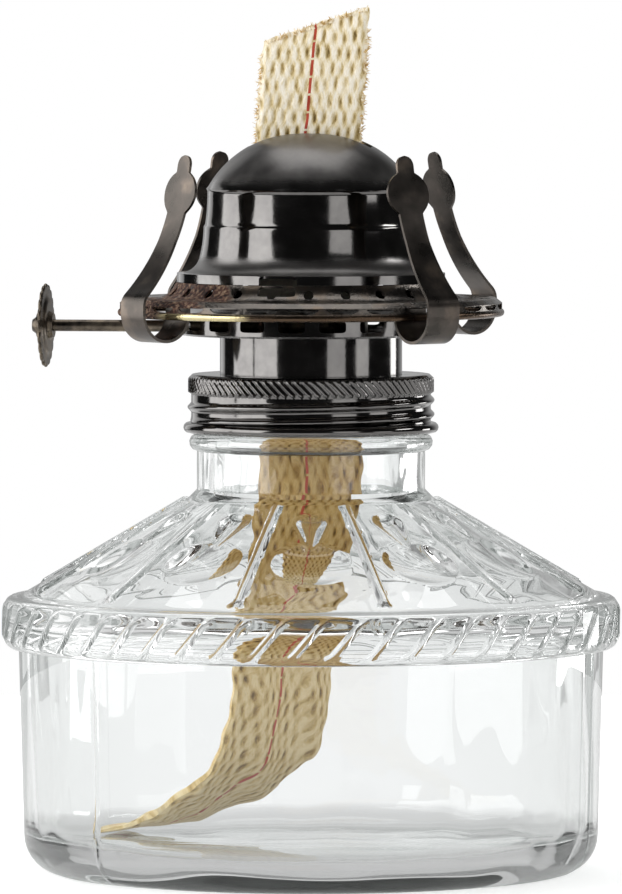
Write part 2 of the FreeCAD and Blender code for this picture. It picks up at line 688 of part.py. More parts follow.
def wick_tube():
    """Flat tube that carries the wick, with a window for each star wheel."""
    body = new_body("wick_tube")
    sketch = outline(body, "wick_tube_section", "XY_Plane", [
        ("-tube_half_width", "-tube_half_depth"), ("tube_half_width", "-tube_half_depth"),
        ("tube_half_width", "tube_half_depth"), ("-tube_half_width", "tube_half_depth"),
    ], [
        ("-(tube_half_width - tube_sheet)", "-(tube_half_depth - tube_sheet)"),
        ("tube_half_width - tube_sheet", "-(tube_half_depth - tube_sheet)"),
        ("tube_half_width - tube_sheet", "tube_half_depth - tube_sheet"),
        ("-(tube_half_width - tube_sheet)", "tube_half_depth - tube_sheet"),
    ])
    bind(sketch, AttachmentOffset__Base__z="tube_low")
    pad(body, sketch, "tube_high - tube_low")
    for side in (-1, 1):
        star_window(body, side)


def vent_tube():
    """Thin tube that lets air back into the font as the fuel is drawn up."""
    pipe("vent_tube", "vent_radius", "vent_radius - tube_sheet", "vent_length",
         ("0", "vent_place", "vent_low"))


def air_pan():
    """Open pan between the cup and the gallery; its windows let the air in under the dome."""
    body = new_body("air_pan")
    revolve(body, [
        ("cup_radius - burner_sheet", "cup_top"),
        ("pan_radius", "cup_top"),
        ("pan_radius", "pan_wall_top"),
        ("ring_bore + pan_tuck", "pan_top - pan_sheet"),
        ("ring_bore + pan_tuck", "pan_top"),
        ("pan_radius - pan_sheet", "pan_wall_top + pan_sheet"),
        ("pan_radius - pan_sheet", "cup_top + pan_sheet"),
        ("cup_radius - burner_sheet", "cup_top + pan_sheet"),
    ])
    window = cutting_box(body, "window", "4 * pan_sheet", "window_width",
                         "window_high - window_low",
                         ("pan_radius - 2.5 * pan_sheet", "-window_width / 2", "window_low"))
    polar(body, window, "window_count")
    cutter(body, "Cylinder", "shaft_hole", turn=TURN_TO_X, Radius="bushing_radius + seat_gap",
           Height="bushing_length",
           Placement__Base__x="-bushing_outer_end", Placement__Base__y="shaft_place",
           Placement__Base__z="shaft_height")


def gallery():
    """Stamped ring that the chimney stands on: beaded fretted rim, flat ring, pierced slope."""
    body = new_body("gallery")
    wall = "(gallery_radius - gallery_sheet)"
    revolve(body, [
        ("lip_bore", "lip_height"),
        ("lip_radius", "lip_height"),
        ("dip_radius", "dip_height", "arc"),
        ("ring_bore", "gallery_height"),
        ("ring_radius", "gallery_height"),
        ("gallery_radius", "gallery_wall_top"),
        ("gallery_radius", "bead_height + bead_radius"),
        ("bead_outer_radius", "bead_height", "arc"),
        (wall, "bead_height - bead_radius"),
        (wall, "gallery_wall_top - gallery_sheet / 2"),
        ("ring_radius - gallery_sheet / 2", "gallery_height - gallery_sheet"),
        ("ring_bore - gallery_sheet / 2", "gallery_height - gallery_sheet"),
        ("dip_radius - gallery_sheet", "dip_height - gallery_sheet", "arc"),
        ("lip_bore", "lip_height - gallery_sheet"),
    ])
    fret = cutting_box(body, "fret", "3 * gallery_sheet", "fret_width", "fret_high - fret_low",
                       ("gallery_radius - 2 * gallery_sheet", "-fret_width / 2", "fret_low"))
    polar(body, fret, "fret_count")
    hole = cutter(body, "Cylinder", "slope_hole", Radius="slope_hole_radius",
                  Height="slope_rise",
                  Placement__Base__x="dip_radius * cos(180 / slope_hole_count)",
                  Placement__Base__y="dip_radius * sin(180 / slope_hole_count)",
                  Placement__Base__z="gallery_height")
    polar(body, hole, "slope_hole_count")
    slot = cutting_box(body, "ring_slot", "ring_slot_width", "ring_slot_length",
                       "3 * gallery_sheet", ("ring_slot_place - ring_slot_width / 2",
                                             "-ring_slot_length / 2",
                                             "gallery_height - 2 * gallery_sheet"))
    polar(body, slot, "ring_slot_count")
    rivet_hole = cutter(body, "Cone", "rivet_hole", Height="3 * gallery_sheet",
                        Radius1="2 * rivet_radius - rivet_head_radius + rivet_clearance",
                        Radius2="2 * rivet_head_radius - rivet_radius + rivet_clearance",
                        Placement__Base__x="prong_leg_radius * cos(45)",
                        Placement__Base__y="prong_leg_radius * sin(45)",
                        Placement__Base__z="gallery_height - 2 * gallery_sheet")
    polar(body, rivet_hole, "4")


def shaft_bushing():
    """Short tube that guides the wheel shaft through the pan's wall."""
    pipe("shaft_bushing", "bushing_radius", "shaft_radius + shaft_clearance",
         "bushing_length", ("-bushing_outer_end", "shaft_place", "shaft_height"), along_x=True)


def shaft_bracket():
    """Folded bracket on the wick tube; the shaft turns in its two ears."""
    body = new_body("shaft_bracket")
    back = "-(tube_half_depth + seat_gap)"
    web = "-(tube_half_depth + seat_gap + bracket_sheet)"
    front = "shaft_place - bracket_lip"
    ear = "(bracket_half - bracket_sheet)"
    sketch = outline(body, "shaft_bracket_section", "XY_Plane", [
        ("-bracket_half", back), ("-bracket_half", front), ("-" + ear, front), ("-" + ear, web),
        (ear, web), (ear, front), ("bracket_half", front), ("bracket_half", back),
    ])
    bind(sketch, AttachmentOffset__Base__z="bracket_low")
    pad(body, sketch, "bracket_height")
    for side in (-1, 1):
        star_window(body, side)
    cutter(body, "Cylinder", "bearing", turn=TURN_TO_X, Radius="shaft_radius + shaft_clearance",
           Height="2 * bracket_half", Placement__Base__x="-bracket_half",
           Placement__Base__y="shaft_place", Placement__Base__z="shaft_height")


def prong_rivets():
    """One countersunk rivet for each prong, flush with the ring so that a chimney can stand on it."""
    pieces = []
    for number in range(4):
        turn = 45 + 90 * number
        rivet = doc.addObject("Part::Cone", "rivet")
        bind(rivet, Radius1="rivet_radius", Radius2="rivet_head_radius", Height="gallery_sheet",
             Placement__Base__x="prong_leg_radius * cos(%d)" % turn,
             Placement__Base__y="prong_leg_radius * sin(%d)" % turn,
             Placement__Base__z="gallery_height - gallery_sheet")
        pieces.append(rivet)
    group = doc.addObject("Part::MultiFuse", "prong_rivets")
    group.Shapes = pieces
    keep(group, "prong_rivets")


# ---------------------------------------------------------------------------- wheels and shaft

def knob_shaft():
    """Shaft of the thumb wheel with its peened outer end."""
    body = new_body("knob_shaft")
    bind(body, Placement__Base__y="shaft_place", Placement__Base__z="shaft_height")
    outer = "(thumb_place + thumb_hub_length / 2)"
    revolve(body, [
        ("-(%s + peen_length)" % outer, "0"),
        ("-(%s + peen_length)" % outer, "shaft_radius"),
        ("-(%s + seat_gap)" % outer, "shaft_radius + peen_rim"),
        ("-(%s + seat_gap)" % outer, "shaft_radius"),
        ("shaft_inner_end", "shaft_radius"),
        ("shaft_inner_end", "0"),
    ], axis="H_Axis")


def wheel(label, loop, teeth, notch_radius, notch_place, place, width):
    """A notched wheel on the shaft, from its section and the round gaps between its teeth."""
    body = new_body(label)
    bind(body, Placement__Base__y="shaft_place", Placement__Base__z="shaft_height")
    revolve(body, loop, axis="H_Axis")
    notch = cutter(body, "Cylinder", "notch", turn=TURN_TO_X, Radius=notch_radius,
                   Height=width, Placement__Base__x="%s - (%s) / 2" % (place, width),
                   Placement__Base__y=notch_place)
    polar(body, notch, teeth, axis="X_Axis")


def thumb_wheel():
    """Dished thumb wheel with a scalloped edge."""
    bore = "(shaft_radius + seat_gap)"
    face = "(-thumb_place - thumb_sheet / 2)"
    back = "(-thumb_place + thumb_sheet / 2)"
    wheel("thumb_wheel", [
        ("-thumb_place - thumb_hub_length / 2", bore),
        ("-thumb_place - thumb_hub_length / 2", "thumb_hub_radius - thumb_dish"),
        (face + " + thumb_dish", "thumb_hub_radius"),
        (face + " + thumb_dish", "thumb_dish_radius"),
        (face, "thumb_rim_radius"),
        (face, "thumb_radius"),
        (back, "thumb_radius"),
        (back, "thumb_rim_radius"),
        (back + " + thumb_dish", "thumb_dish_radius"),
        (back + " + thumb_dish", "thumb_hub_radius"),
        ("-thumb_place + thumb_hub_length / 2", "thumb_hub_radius - thumb_dish"),
        ("-thumb_place + thumb_hub_length / 2", bore),
    ], "thumb_teeth", "thumb_notch_radius", "thumb_radius + thumb_notch_radius / 3",
        "-thumb_place", "3 * thumb_sheet")


def star_wheels():
    """Two toothed wheels that draw the wick up and down."""
    for side, label in ((-1, "star_wheel_left"), (1, "star_wheel_right")):
        place = "%d * star_place" % side
        wheel(label, [
            (place + " - star_width / 2", "shaft_radius + seat_gap"),
            (place + " - star_width / 2", "star_radius"),
            (place + " + star_width / 2", "star_radius"),
            (place + " + star_width / 2", "shaft_radius + seat_gap"),
        ], "star_teeth", "star_notch_radius", "star_radius + star_notch_radius / 4",
            place, "2 * star_width")


# ---------------------------------------------------------------------------- wick

def wick():
    """Straight upper part of the flat cotton wick, with its slanted frayed top."""
    body = new_body("wick")
    half = "wick_width / 2"
    sketch = outline(body, "wick_outline", "XZ_Plane", [
        ("-" + half, "wick_low"), (half, "wick_low"), (half, "wick_right_top"),
        ("-" + half, "wick_left_top"),
    ])
    pad(body, sketch, "wick_thickness", side="Symmetric")


def wick_tail():
    """Loose lower part of the wick: flat sections across it, joined by straight stretches."""
    sections = []
    floor, high = value("floor_thickness"), value("tail_high")
    reach = value("foot_radius - glass_wall - floor_rounding")
    middles = [FreeCAD.Vector(reach * across, reach * back, floor + (high - floor) * height)
               for across, back, height, _ in TAIL_STOPS]
    for number, middle in enumerate(middles):
        run = middles[min(number + 1, len(middles) - 1)] - middles[max(number - 1, 0)]
        turn = math.radians(TAIL_STOPS[number][3])
        width = FreeCAD.Vector(math.cos(turn), math.sin(turn), 0)
        down = (run - width * run.dot(width)).normalize()
        section = doc.addObject("Sketcher::SketchObject", "wick_tail_section")
        matrix = FreeCAD.Matrix(*[
            value for row in zip(width, down.cross(width), down) for value in (*row, 0)], 0, 0, 0, 1)
        section.Placement = FreeCAD.Placement(middle, FreeCAD.Rotation(matrix))
        corners = [(-1, -1), (1, -1), (1, 1), (-1, 1)]
        for start, end in zip(corners, corners[1:] + corners[:1]):
            section.addGeometry(Part.LineSegment(FreeCAD.Vector(*start, 0), FreeCAD.Vector(*end, 0)))
        for edge in range(4):
            joint = Sketcher.Constraint("Coincident", edge, 2, (edge + 1) % 4, 1)
            section.addConstraint(joint)
        for edge, kind in ((0, "Horizontal"), (2, "Horizontal"), (1, "Vertical"), (3, "Vertical")):
            section.addConstraint(Sketcher.Constraint(kind, edge))
        section.addConstraint(Sketcher.Constraint("Symmetric", 0, 1, 2, 1, -1, 1))
        bound_constraint(section, "DistanceX", 0, 1, 0, 2, text="wick_width")
        bound_constraint(section, "DistanceY", 1, 1, 1, 2, text="wick_thickness")
        sections.append(section)
    tail = doc.addObject("Part::Loft", "wick_tail")
    tail.Sections = sections
    tail.Solid = True
    tail.Ruled = True
    keep(tail, "wick_tail")


# ---------------------------------------------------------------------------- dome

def deflector_dome():
    """Stamped dome that spreads the air over the flame: flange, flare, two bands and crown."""
    body = new_body("deflector_dome")
    flare_middle = "(1 - cos(45))"
    sheet_across = "dome_sheet * cos(45)"
    inner_band_radius = "(lower_band_low_radius - dome_sheet)"
    revolve(body, [
        ("flange_radius", "flange_low"),
        ("flange_radius", "flange_high"),
        ("lower_band_low_radius + flare_run * " + flare_middle,
         "flange_high + flare_height * " + flare_middle, "arc"),
        ("lower_band_low_radius", "lower_band_low"),
        ("lower_band_top_radius", "step_height"),
        ("upper_band_low_radius", "step_height + dome_sheet"),
        ("upper_band_top_radius", "crown_low"),
        ("crown_mid_radius", "crown_mid_height", "arc"),
        ("0", "crown_top"),
        ("0", "crown_top - dome_sheet"),
        ("crown_mid_radius - " + sheet_across, "crown_mid_height - " + sheet_across, "arc"),
        ("upper_band_top_radius - dome_sheet", "crown_low"),
        ("upper_band_low_radius - dome_sheet", "step_height"),
        ("lower_band_top_radius - dome_sheet", "step_height - dome_sheet"),
        (inner_band_radius, "lower_band_low"),
        (inner_band_radius + " + flare_run * " + flare_middle,
         "flange_high + flare_height * %s - %s" % (flare_middle, sheet_across), "arc"),
        ("flange_radius - dome_sheet", "flange_high - dome_sheet"),
        ("flange_radius - dome_sheet", "flange_low"),
    ])
    cutting_box(body, "wick_slot", "slot_length", "slot_width", "slot_depth + dome_sheet",
                ("-slot_length / 2", "-slot_width / 2", "slot_floor"))
    across = "(flange_radius - 2 * dome_sheet)"
    cutting_box(body, "flange_notch", "4 * dome_sheet", "notch_width",
                "flange_height - dome_sheet + seat_gap",
                (across + " * cos(notch_turn) + notch_width / 2 * sin(notch_turn)",
                 across + " * sin(notch_turn) - notch_width / 2 * cos(notch_turn)",
                 "flange_low - seat_gap"),
                turn=FreeCAD.Rotation(FreeCAD.Vector(0, 0, 1), value("notch_turn")))


# ---------------------------------------------------------------------------- prongs

def prong_spine(body):
    """The middle line of a prong's strip: down, round under the gallery's rim and up."""
    spine = new_sketch(body, body.Label + "_spine", "XZ_Plane")
    leg, outer = value("prong_leg_radius"), value("prong_outer_radius")
    top, low, bend = value("prong_start"), value("prong_curl_height"), value("prong_bend_height")
    curl, corner, arm = (value("prong_%s_radius" % name) for name in ("curl", "corner", "arm"))
    finger_length = value("prong_finger")
    tip = FreeCAD.Vector(value("prong_tip_radius"), value("prong_tip_height"), 0)
    joint = FreeCAD.Vector(outer - 0.3 * corner, bend + 0.7 * corner, 0)
    finger = tip + FreeCAD.Vector(0.17, -0.98, 0) * finger_length
    half_chord = (finger - joint) / 2
    sag = arm - math.sqrt(arm ** 2 - half_chord.Length ** 2)
    outward = FreeCAD.Vector(half_chord.y, -half_chord.x, 0).normalize()
    belly = joint + half_chord - outward * sag
    points = [FreeCAD.Vector(leg, top, 0), FreeCAD.Vector(leg, low, 0),
              FreeCAD.Vector(outer, low, 0), FreeCAD.Vector(outer, bend, 0), joint, finger, tip]
    under = FreeCAD.Vector(leg + curl, low - curl, 0)
    knee = FreeCAD.Vector(outer - 0.08 * corner, bend + 0.4 * corner, 0)
    pieces = [Part.LineSegment(points[0], points[1]), Part.Arc(points[1], under, points[2]),
              Part.LineSegment(points[2], points[3]), Part.Arc(points[3], knee, points[4]),
              Part.Arc(points[4], belly, points[5]), Part.LineSegment(points[5], points[6])]
    ends = []
    for number, piece in enumerate(pieces):
        spine.addGeometry(piece, False)
        starts_first = spine.getPoint(number, 1).distanceToPoint(points[number]) < 1e-6
        ends.append((1, 2) if starts_first else (2, 1))
    spine.addConstraint(Sketcher.Constraint("Vertical", 0))
    spine.addConstraint(Sketcher.Constraint("Vertical", 2))
    bound_constraint(spine, "DistanceX", 0, 1, text="prong_leg_radius", drawn=leg)
    bound_constraint(spine, "DistanceY", 0, 1, text="prong_start", drawn=top)
    bound_constraint(spine, "DistanceY", 0, 2, text="prong_curl_height", drawn=low)
    bound_constraint(spine, "DistanceY", 2, 2, text="prong_bend_height", drawn=bend)
    bound_constraint(spine, "DistanceX", 5, 2, text="prong_tip_radius", drawn=tip.x)
    bound_constraint(spine, "DistanceY", 5, 2, text="prong_tip_height", drawn=tip.y)
    bound_constraint(spine, "Distance", 5, text="prong_finger", drawn=finger_length)
    for number in range(5):
        joined = (number, ends[number][1], number + 1, ends[number + 1][0])
        spine.addConstraint(Sketcher.Constraint("Tangent", *joined))
    bound_constraint(spine, "Radius", 1, text="prong_curl_radius", drawn=curl)
    bound_constraint(spine, "Radius", 3, text="prong_corner_radius", drawn=corner)
    bound_constraint(spine, "Radius", 4, text="prong_arm_radius", drawn=arm)
    doc.recompute()
    return spine


def prong(number):
    """One spring strip that holds the chimney, in the corner that its number gives."""
    body = new_body("prong_%d" % number)
    body.Placement.Rotation = FreeCAD.Rotation(FreeCAD.Vector(0, 0, 1), 90 * number - 45)
    spine = prong_spine(body)
    section = outline(body, body.Label + "_section", "XY_Plane", [
        ("prong_leg_radius - prong_sheet / 2", "-(ear_width / 2 + prong_sheet)"),
        ("prong_leg_radius + prong_sheet / 2", "-(ear_width / 2 + prong_sheet)"),
        ("prong_leg_radius + prong_sheet / 2", "ear_width / 2 + prong_sheet"),
        ("prong_leg_radius - prong_sheet / 2", "ear_width / 2 + prong_sheet"),
    ])
    bind(section, AttachmentOffset__Base__z="prong_start")
    strip = body.newObject("PartDesign::AdditivePipe", body.Label + "_strip")
    strip.Profile = section
    strip.Spine = (spine, ["Edge%d" % edge for edge in range(1, 7)])
    doc.recompute()
    full = body.Shape.Volume
    far = "2 * ear_width"
    low = "(prong_curl_height - 3 * prong_curl_radius)"
    high = "prong_tip_height + finger_width"
    blank = outline(body, body.Label + "_blank", "YZ_Plane", [
        ("-" + far, low), (far, low), (far, high), ("-" + far, high),
    ], [
        ("-prong_low_width / 2", low + " + prong_curl_radius"),
        ("prong_low_width / 2", low + " + prong_curl_radius"),
        ("prong_low_width / 2", "gallery_height"),
        ("prong_high_width / 2", "prong_narrow_height"),
        ("prong_high_width / 2", "ear_low"),
        ("ear_width / 2", "(ear_low + ear_high) / 2", "arc"),
        ("finger_width / 2", "ear_high"),
        ("finger_width / 2", "prong_tip_height - finger_width / 2"),
        ("0", "prong_tip_height", "arc"),
        ("-finger_width / 2", "prong_tip_height - finger_width / 2"),
        ("-finger_width / 2", "ear_high"),
        ("-ear_width / 2", "(ear_low + ear_high) / 2", "arc"),
        ("-prong_high_width / 2", "ear_low"),
        ("-prong_high_width / 2", "prong_narrow_height"),
        ("-prong_low_width / 2", "gallery_height"),
    ])
    trim = body.newObject("PartDesign::Pocket", body.Label + "_trim")
    trim.Profile = blank
    trim.SideType = "Symmetric"
    trim.Type = "ThroughAll"
    doc.recompute()
    if body.Shape.Volume > 0.95 * full:
        raise RuntimeError("the blank of %s trims nothing" % body.Label)


# ---------------------------------------------------------------------------- build and write

glass_font()
screw_collar()
collar_gasket()
burner_base()
wick_tube()
vent_tube()
air_pan()
gallery()
shaft_bushing()
shaft_bracket()
prong_rivets()
knob_shaft()
thumb_wheel()
star_wheels()
wick()
wick_tail()
deflector_dome()
for corner_number in range(1, 5):
    prong(corner_number)
doc.recompute()

for item in doc.Objects:
    if "Invalid" in item.State or "Error" in item.State:
        raise RuntimeError("%s failed: %s" % (item.Label, item.State))
for item in PARTS:
    if item.Shape.isNull() or not item.Shape.isValid() or not item.Shape.Solids:
        raise RuntimeError("%s has no valid solid" % item.Label)

os.makedirs("parts", exist_ok=True)
for item in PARTS:
    item.Shape.exportStep("parts/%s.step" % item.Label)
    box = item.Shape.BoundBox
    print("%-18s %2d solid(s) %9.1f mm3  z %6.1f to %6.1f" % (
        item.Label, len(item.Shape.Solids), item.Shape.Volume, box.ZMin, box.ZMax))
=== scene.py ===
# %% [markdown]
# # An oil lamp with a pressed glass font
# A kerosene lamp of the plain household kind: a clear pressed glass font, a black screw collar, a
# flat-wick burner and a cotton wick that runs down into the glass. The CAD model comes in first as
# a fixed frame. It says where each part is and how it moves, and everything below dresses it.

# %% Load the frame
from bisect import bisect
from math import atan2, cos, hypot, pi, radians, sin, sqrt

import bmesh
import bpy
from mathutils import Matrix, Vector, noise


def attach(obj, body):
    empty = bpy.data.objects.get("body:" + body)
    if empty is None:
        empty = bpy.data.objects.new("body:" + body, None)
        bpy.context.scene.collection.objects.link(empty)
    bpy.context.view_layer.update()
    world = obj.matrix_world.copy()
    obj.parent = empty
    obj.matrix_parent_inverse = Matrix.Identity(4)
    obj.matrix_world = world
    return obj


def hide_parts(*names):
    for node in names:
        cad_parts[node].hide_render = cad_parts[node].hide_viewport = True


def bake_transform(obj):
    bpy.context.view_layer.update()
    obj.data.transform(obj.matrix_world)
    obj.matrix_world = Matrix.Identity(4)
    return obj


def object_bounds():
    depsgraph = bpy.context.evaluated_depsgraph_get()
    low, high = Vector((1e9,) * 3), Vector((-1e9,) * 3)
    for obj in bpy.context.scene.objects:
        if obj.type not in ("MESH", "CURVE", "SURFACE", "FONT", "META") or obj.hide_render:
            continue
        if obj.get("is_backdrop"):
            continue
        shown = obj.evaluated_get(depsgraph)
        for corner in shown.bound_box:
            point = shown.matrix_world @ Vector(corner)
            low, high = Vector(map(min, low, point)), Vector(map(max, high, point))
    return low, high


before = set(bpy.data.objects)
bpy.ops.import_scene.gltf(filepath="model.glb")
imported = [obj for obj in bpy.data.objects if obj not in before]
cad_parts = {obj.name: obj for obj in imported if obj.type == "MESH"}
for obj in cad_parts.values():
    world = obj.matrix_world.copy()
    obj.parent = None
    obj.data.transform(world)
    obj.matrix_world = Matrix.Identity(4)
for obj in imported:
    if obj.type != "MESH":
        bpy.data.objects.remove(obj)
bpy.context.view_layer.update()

MM = 0.001

# %% [markdown]
# ## Camera
# A studio view from the front, a little to the right and from slightly above, taken from two
# metres away with a long lens so that the uprights stay upright.

# %% Camera
VIEW_TURN = radians(8.5)
CAMERA_AWAY, CAMERA_HEIGHT, AIM_HEIGHT = 2.05, 0.186, 0.0873
camera = bpy.data.objects.new("camera", bpy.data.cameras.new("camera"))
bpy.context.scene.collection.objects.link(camera)
camera.location = (CAMERA_AWAY * sin(VIEW_TURN), -CAMERA_AWAY * cos(VIEW_TURN), CAMERA_HEIGHT)
camera.rotation_euler = (Vector((0, 0, AIM_HEIGHT)) - camera.location).to_track_quat("-Z", "Y").to_euler()
camera.data.lens = 402.7
bpy.context.scene.camera = camera
print("the camera is at", [round(v, 3) for v in camera.location])

# %% [markdown]
# ## Light
# Clear glass has no colour of its own: it is seen by what it bends. A white field right behind it
# and darkness beside that field give bright glass with dark edges, which is how a studio lights
# glass. Here the world does the same from eight sides, so that the lamp looks alike from
# all round. Gloss metal is the opposite case: it is a mirror, and shows soft boxes on black.

# %% Colours and nodes
def linear(code):
    """An sRGB hex colour as the linear values that a shader takes."""
    values = [int(code[i:i + 2], 16) / 255 for i in (1, 3, 5)]
    return [v / 12.92 if v < 0.04045 else ((v + 0.055) / 1.055) ** 2.4 for v in values] + [1.0]


def feed(tree, node, sockets):
    """Set or link a node's sockets: a node or socket is linked, a hex colour is made linear."""
    for key, value in sockets.items():
        if isinstance(value, bpy.types.Node):
            value = next(s for s in value.outputs if s.enabled)
        if isinstance(value, bpy.types.NodeSocket):
            tree.links.new(value, node.inputs[key])
        else:
            node.inputs[key].default_value = linear(value) if isinstance(value, str) else value


def add(tree, kind, sockets=None, stops=(), **settings):
    """Add a node of a kind with its settings, its sockets and, on a ramp, its stops."""
    node = tree.nodes.new("ShaderNode" + kind)
    for name, value in settings.items():
        setattr(node, name, value)
    feed(tree, node, sockets or {})
    for number, (place, colour) in enumerate(stops):
        ramp = node.color_ramp.elements
        stop = ramp[number] if number < 2 else ramp.new(place)
        stop.position, stop.color = place, linear(colour)
    return node


# %% [markdown]
# ### World
# The world is a ring of bright fields with a dim gap between each two, fading upwards, and each kind
# of ray gets its own reading of it. The camera sees plain white. A ray that has come through glass
# sees the ring, and so does a reflection inside the glass. A reflection on the outside sees almost
# black, so that the metal stays dark between its soft boxes, and brightens only straight behind the
# lamp, where every surface is seen at a grazing angle.

# %% World
FIELDS, GAP_LIGHT, FIELD_LIGHT = 8, 0.4, 0.98
MIRROR_DARK, MIRROR_BEHIND, ROOM_LIGHT = 0.02, 0.45, 0.55
world = bpy.data.worlds.new("studio")
bpy.context.scene.world = world
world.use_nodes = True
tree = world.node_tree
tree.nodes.clear()
ray_way = add(tree, "TexCoord").outputs["Generated"]
way = add(tree, "SeparateXYZ", {0: ray_way})
turn = add(tree, "Math", {0: way.outputs["Y"], 1: way.outputs["X"]}, operation="ARCTAN2")
turns = add(tree, "Math", {0: turn, 1: FIELDS, 2: FIELDS * (pi / 2 - VIEW_TURN)}, operation="MULTIPLY_ADD")
wave = add(tree, "Math", {0: turns}, operation="COSINE")
field = add(tree, "MapRange", {"Value": wave, 1: -0.9, 2: -0.1, 3: GAP_LIGHT, 4: FIELD_LIGHT},
            interpolation_type="SMOOTHSTEP")
high = add(tree, "MapRange", {"Value": way.outputs["Z"], 1: 0.3, 2: 0.7, 3: 1.0, 4: 0.6})
behind = add(tree, "Math", {0: field, 1: high}, operation="MULTIPLY")
path = add(tree, "LightPath")
within = add(tree, "Math", {0: path.outputs["Transmission Depth"], 1: 0.5}, operation="GREATER_THAN")
ahead = add(tree, "VectorMath", {0: ray_way, 1: (-sin(VIEW_TURN), cos(VIEW_TURN), 0)},
            operation="DOT_PRODUCT").outputs["Value"]
grazed = add(tree, "MapRange", {"Value": ahead, 1: 0.78, 2: 0.93, 3: MIRROR_DARK, 4: MIRROR_BEHIND})
mirrored = add(tree, "Mix", {0: within, 2: grazed, 3: behind}, data_type="FLOAT")
strength = ROOM_LIGHT
for ray, value in (("Is Glossy Ray", mirrored), ("Is Transmission Ray", behind), ("Is Camera Ray", 1.0)):
    strength = add(tree, "Mix", {0: path.outputs[ray], 2: strength, 3: value}, data_type="FLOAT")
sky = add(tree, "Background", {"Color": "#FFFFFF", "Strength": strength})
add(tree, "OutputWorld", {"Surface": sky})


# %% [markdown]
# ### Lamps
# Two tall windows on the left draw the bright uprights on the black metal. The boxes on the right
# are lower and weaker, so that the shaded side still reads as round. One from above lights the
# dome and the shoulder, and one behind on the left thins the far edge.

# %% Lamps
LAMP_AWAY, LAMP_AIM = 1.2, Vector((0, 0, 0.11))


def softbox(name, turn, rise, width, height, radiance):
    """A rectangular lamp that faces the object: its turn is in degrees to the camera's left, and
    its rise in degrees above the level of its aim."""
    light = bpy.data.lights.new(name, "AREA")
    light.shape, light.size, light.size_y = "RECTANGLE", width, height
    light.energy = radiance * pi * width * height
    lamp = bpy.data.objects.new(name, light)
    bpy.context.scene.collection.objects.link(lamp)
    angle, lift = VIEW_TURN - pi / 2 - radians(turn), radians(rise)
    way_out = Vector((cos(angle) * cos(lift), sin(angle) * cos(lift), sin(lift)))
    lamp.location = LAMP_AIM + LAMP_AWAY * way_out
    lamp.rotation_euler = (LAMP_AIM - lamp.location).to_track_quat("-Z", "Y").to_euler()
    print("lamp", name, [round(v, 2) for v in lamp.location])


softbox("window_far", 96, 12, 0.8, 1.0, 2.7)
softbox("window_near", 59.5, 12, 0.72, 1.0, 2.7)
softbox("fill", -32, 8, 0.5, 0.55, 1.3)
softbox("low_fill", -68, -3, 0.4, 0.22, 1.6)
softbox("glint", -100, 24, 0.4, 0.16, 7.0)
softbox("edge", -128, -3, 0.3, 0.25, 5.0)
softbox("top", 180, 74, 0.9, 0.9, 1.9)
softbox("rear_left", 150, 15, 0.4, 1.0, 0.6)


# %% [markdown]
# ## Finishes
# Each finish is what the real part is made of. The metals are old: the black plating has dulled
# and worn to brass and rust at its edges, which is what keeps them from looking like plastic.

# %% Material helper
def material(name, sockets):
    """A new material with its shader's plain values set; returns the material, tree and shader."""
    made = bpy.data.materials.new(name)
    made.use_nodes = True
    shader = made.node_tree.nodes["Principled BSDF"]
    feed(made.node_tree, shader, sockets)
    return made, made.node_tree, shader


def per_mm(size):
    """The scale at which a texture's cells are this many millimetres across."""
    return 1000 / size


# %% [markdown]
# ### Glass
# The font is clear soda glass, pressed hot in an iron mould and fire polished: it gives the eye
# bent light and dark edges, with hardly any colour. A Principled shader with full transmission
# bends light as solid glass does. Three things are added. Its tint greys where it is seen edge on,
# a little for the longer way through the glass there and mostly as painted shade for dark edges.
# Light that has crossed many surfaces is cut off by the renderer as black, so such a ray gets a
# painted grey glow instead, with painted shade edge on and at the foot.
# And shadow rays pass straight through, so that the glass casts a light shadow without caustics.

# %% Pressed soda glass
SPENT_DEPTH = 5.5
FOOT_LOW, FOOT_HIGH, FOOT_LIGHT = 0.001, 0.005, 0.12
glass, tree, shader = material("pressed_soda_glass", {
    "Transmission Weight": 1.0, "Roughness": 0.0, "IOR": 1.5, "Specular IOR Level": 0.25})
edge = add(tree, "LayerWeight", {"Blend": 0.5})
# Painted shade: the tint turns grey and dark where the glass is seen edge on, beyond what its thickness
# gives.
tint_and_edge_shade = add(tree, "ValToRGB", {0: edge.outputs["Facing"]}, stops=(
    (0.0, "#FBFCFC"), (1.0, "#6A6E6C"), (0.8, "#F2F4F3"), (0.93, "#BFC3C1")))
feed(tree, shader, {"Base Color": tint_and_edge_shade})
path = add(tree, "LightPath")
# Painted glow for rays past SPENT_DEPTH: grey, with painted shade edge on and near the foot.
painted_glow_colour = add(tree, "ValToRGB", {0: edge.outputs["Facing"]}, stops=(
    (0.0, "#DCDFDE"), (1.0, "#2E3230"), (0.5, "#A9ADAB"), (0.8, "#6E7270")))
height = add(tree, "SeparateXYZ", {0: add(tree, "TexCoord").outputs["Object"]}).outputs["Z"]
painted_foot_shade = add(tree, "MapRange", {"Value": height, 1: FOOT_LOW, 2: FOOT_HIGH, 3: FOOT_LIGHT, 4: 1.0})
spent = add(tree, "Math", {0: path.outputs["Ray Depth"], 1: SPENT_DEPTH}, operation="GREATER_THAN")
painted_late_glow = add(tree, "Emission", {"Color": painted_glow_colour, "Strength": painted_foot_shade})
piped = add(tree, "MixShader", {0: spent, 1: shader.outputs["BSDF"], 2: painted_late_glow})
clear = add(tree, "BsdfTransparent", {"Color": "#E4E6E5"})
shade = add(tree, "MixShader", {0: path.outputs["Is Shadow Ray"], 1: piped, 2: clear})
tree.links.new(shade.outputs[0], tree.nodes["Material Output"].inputs["Surface"])

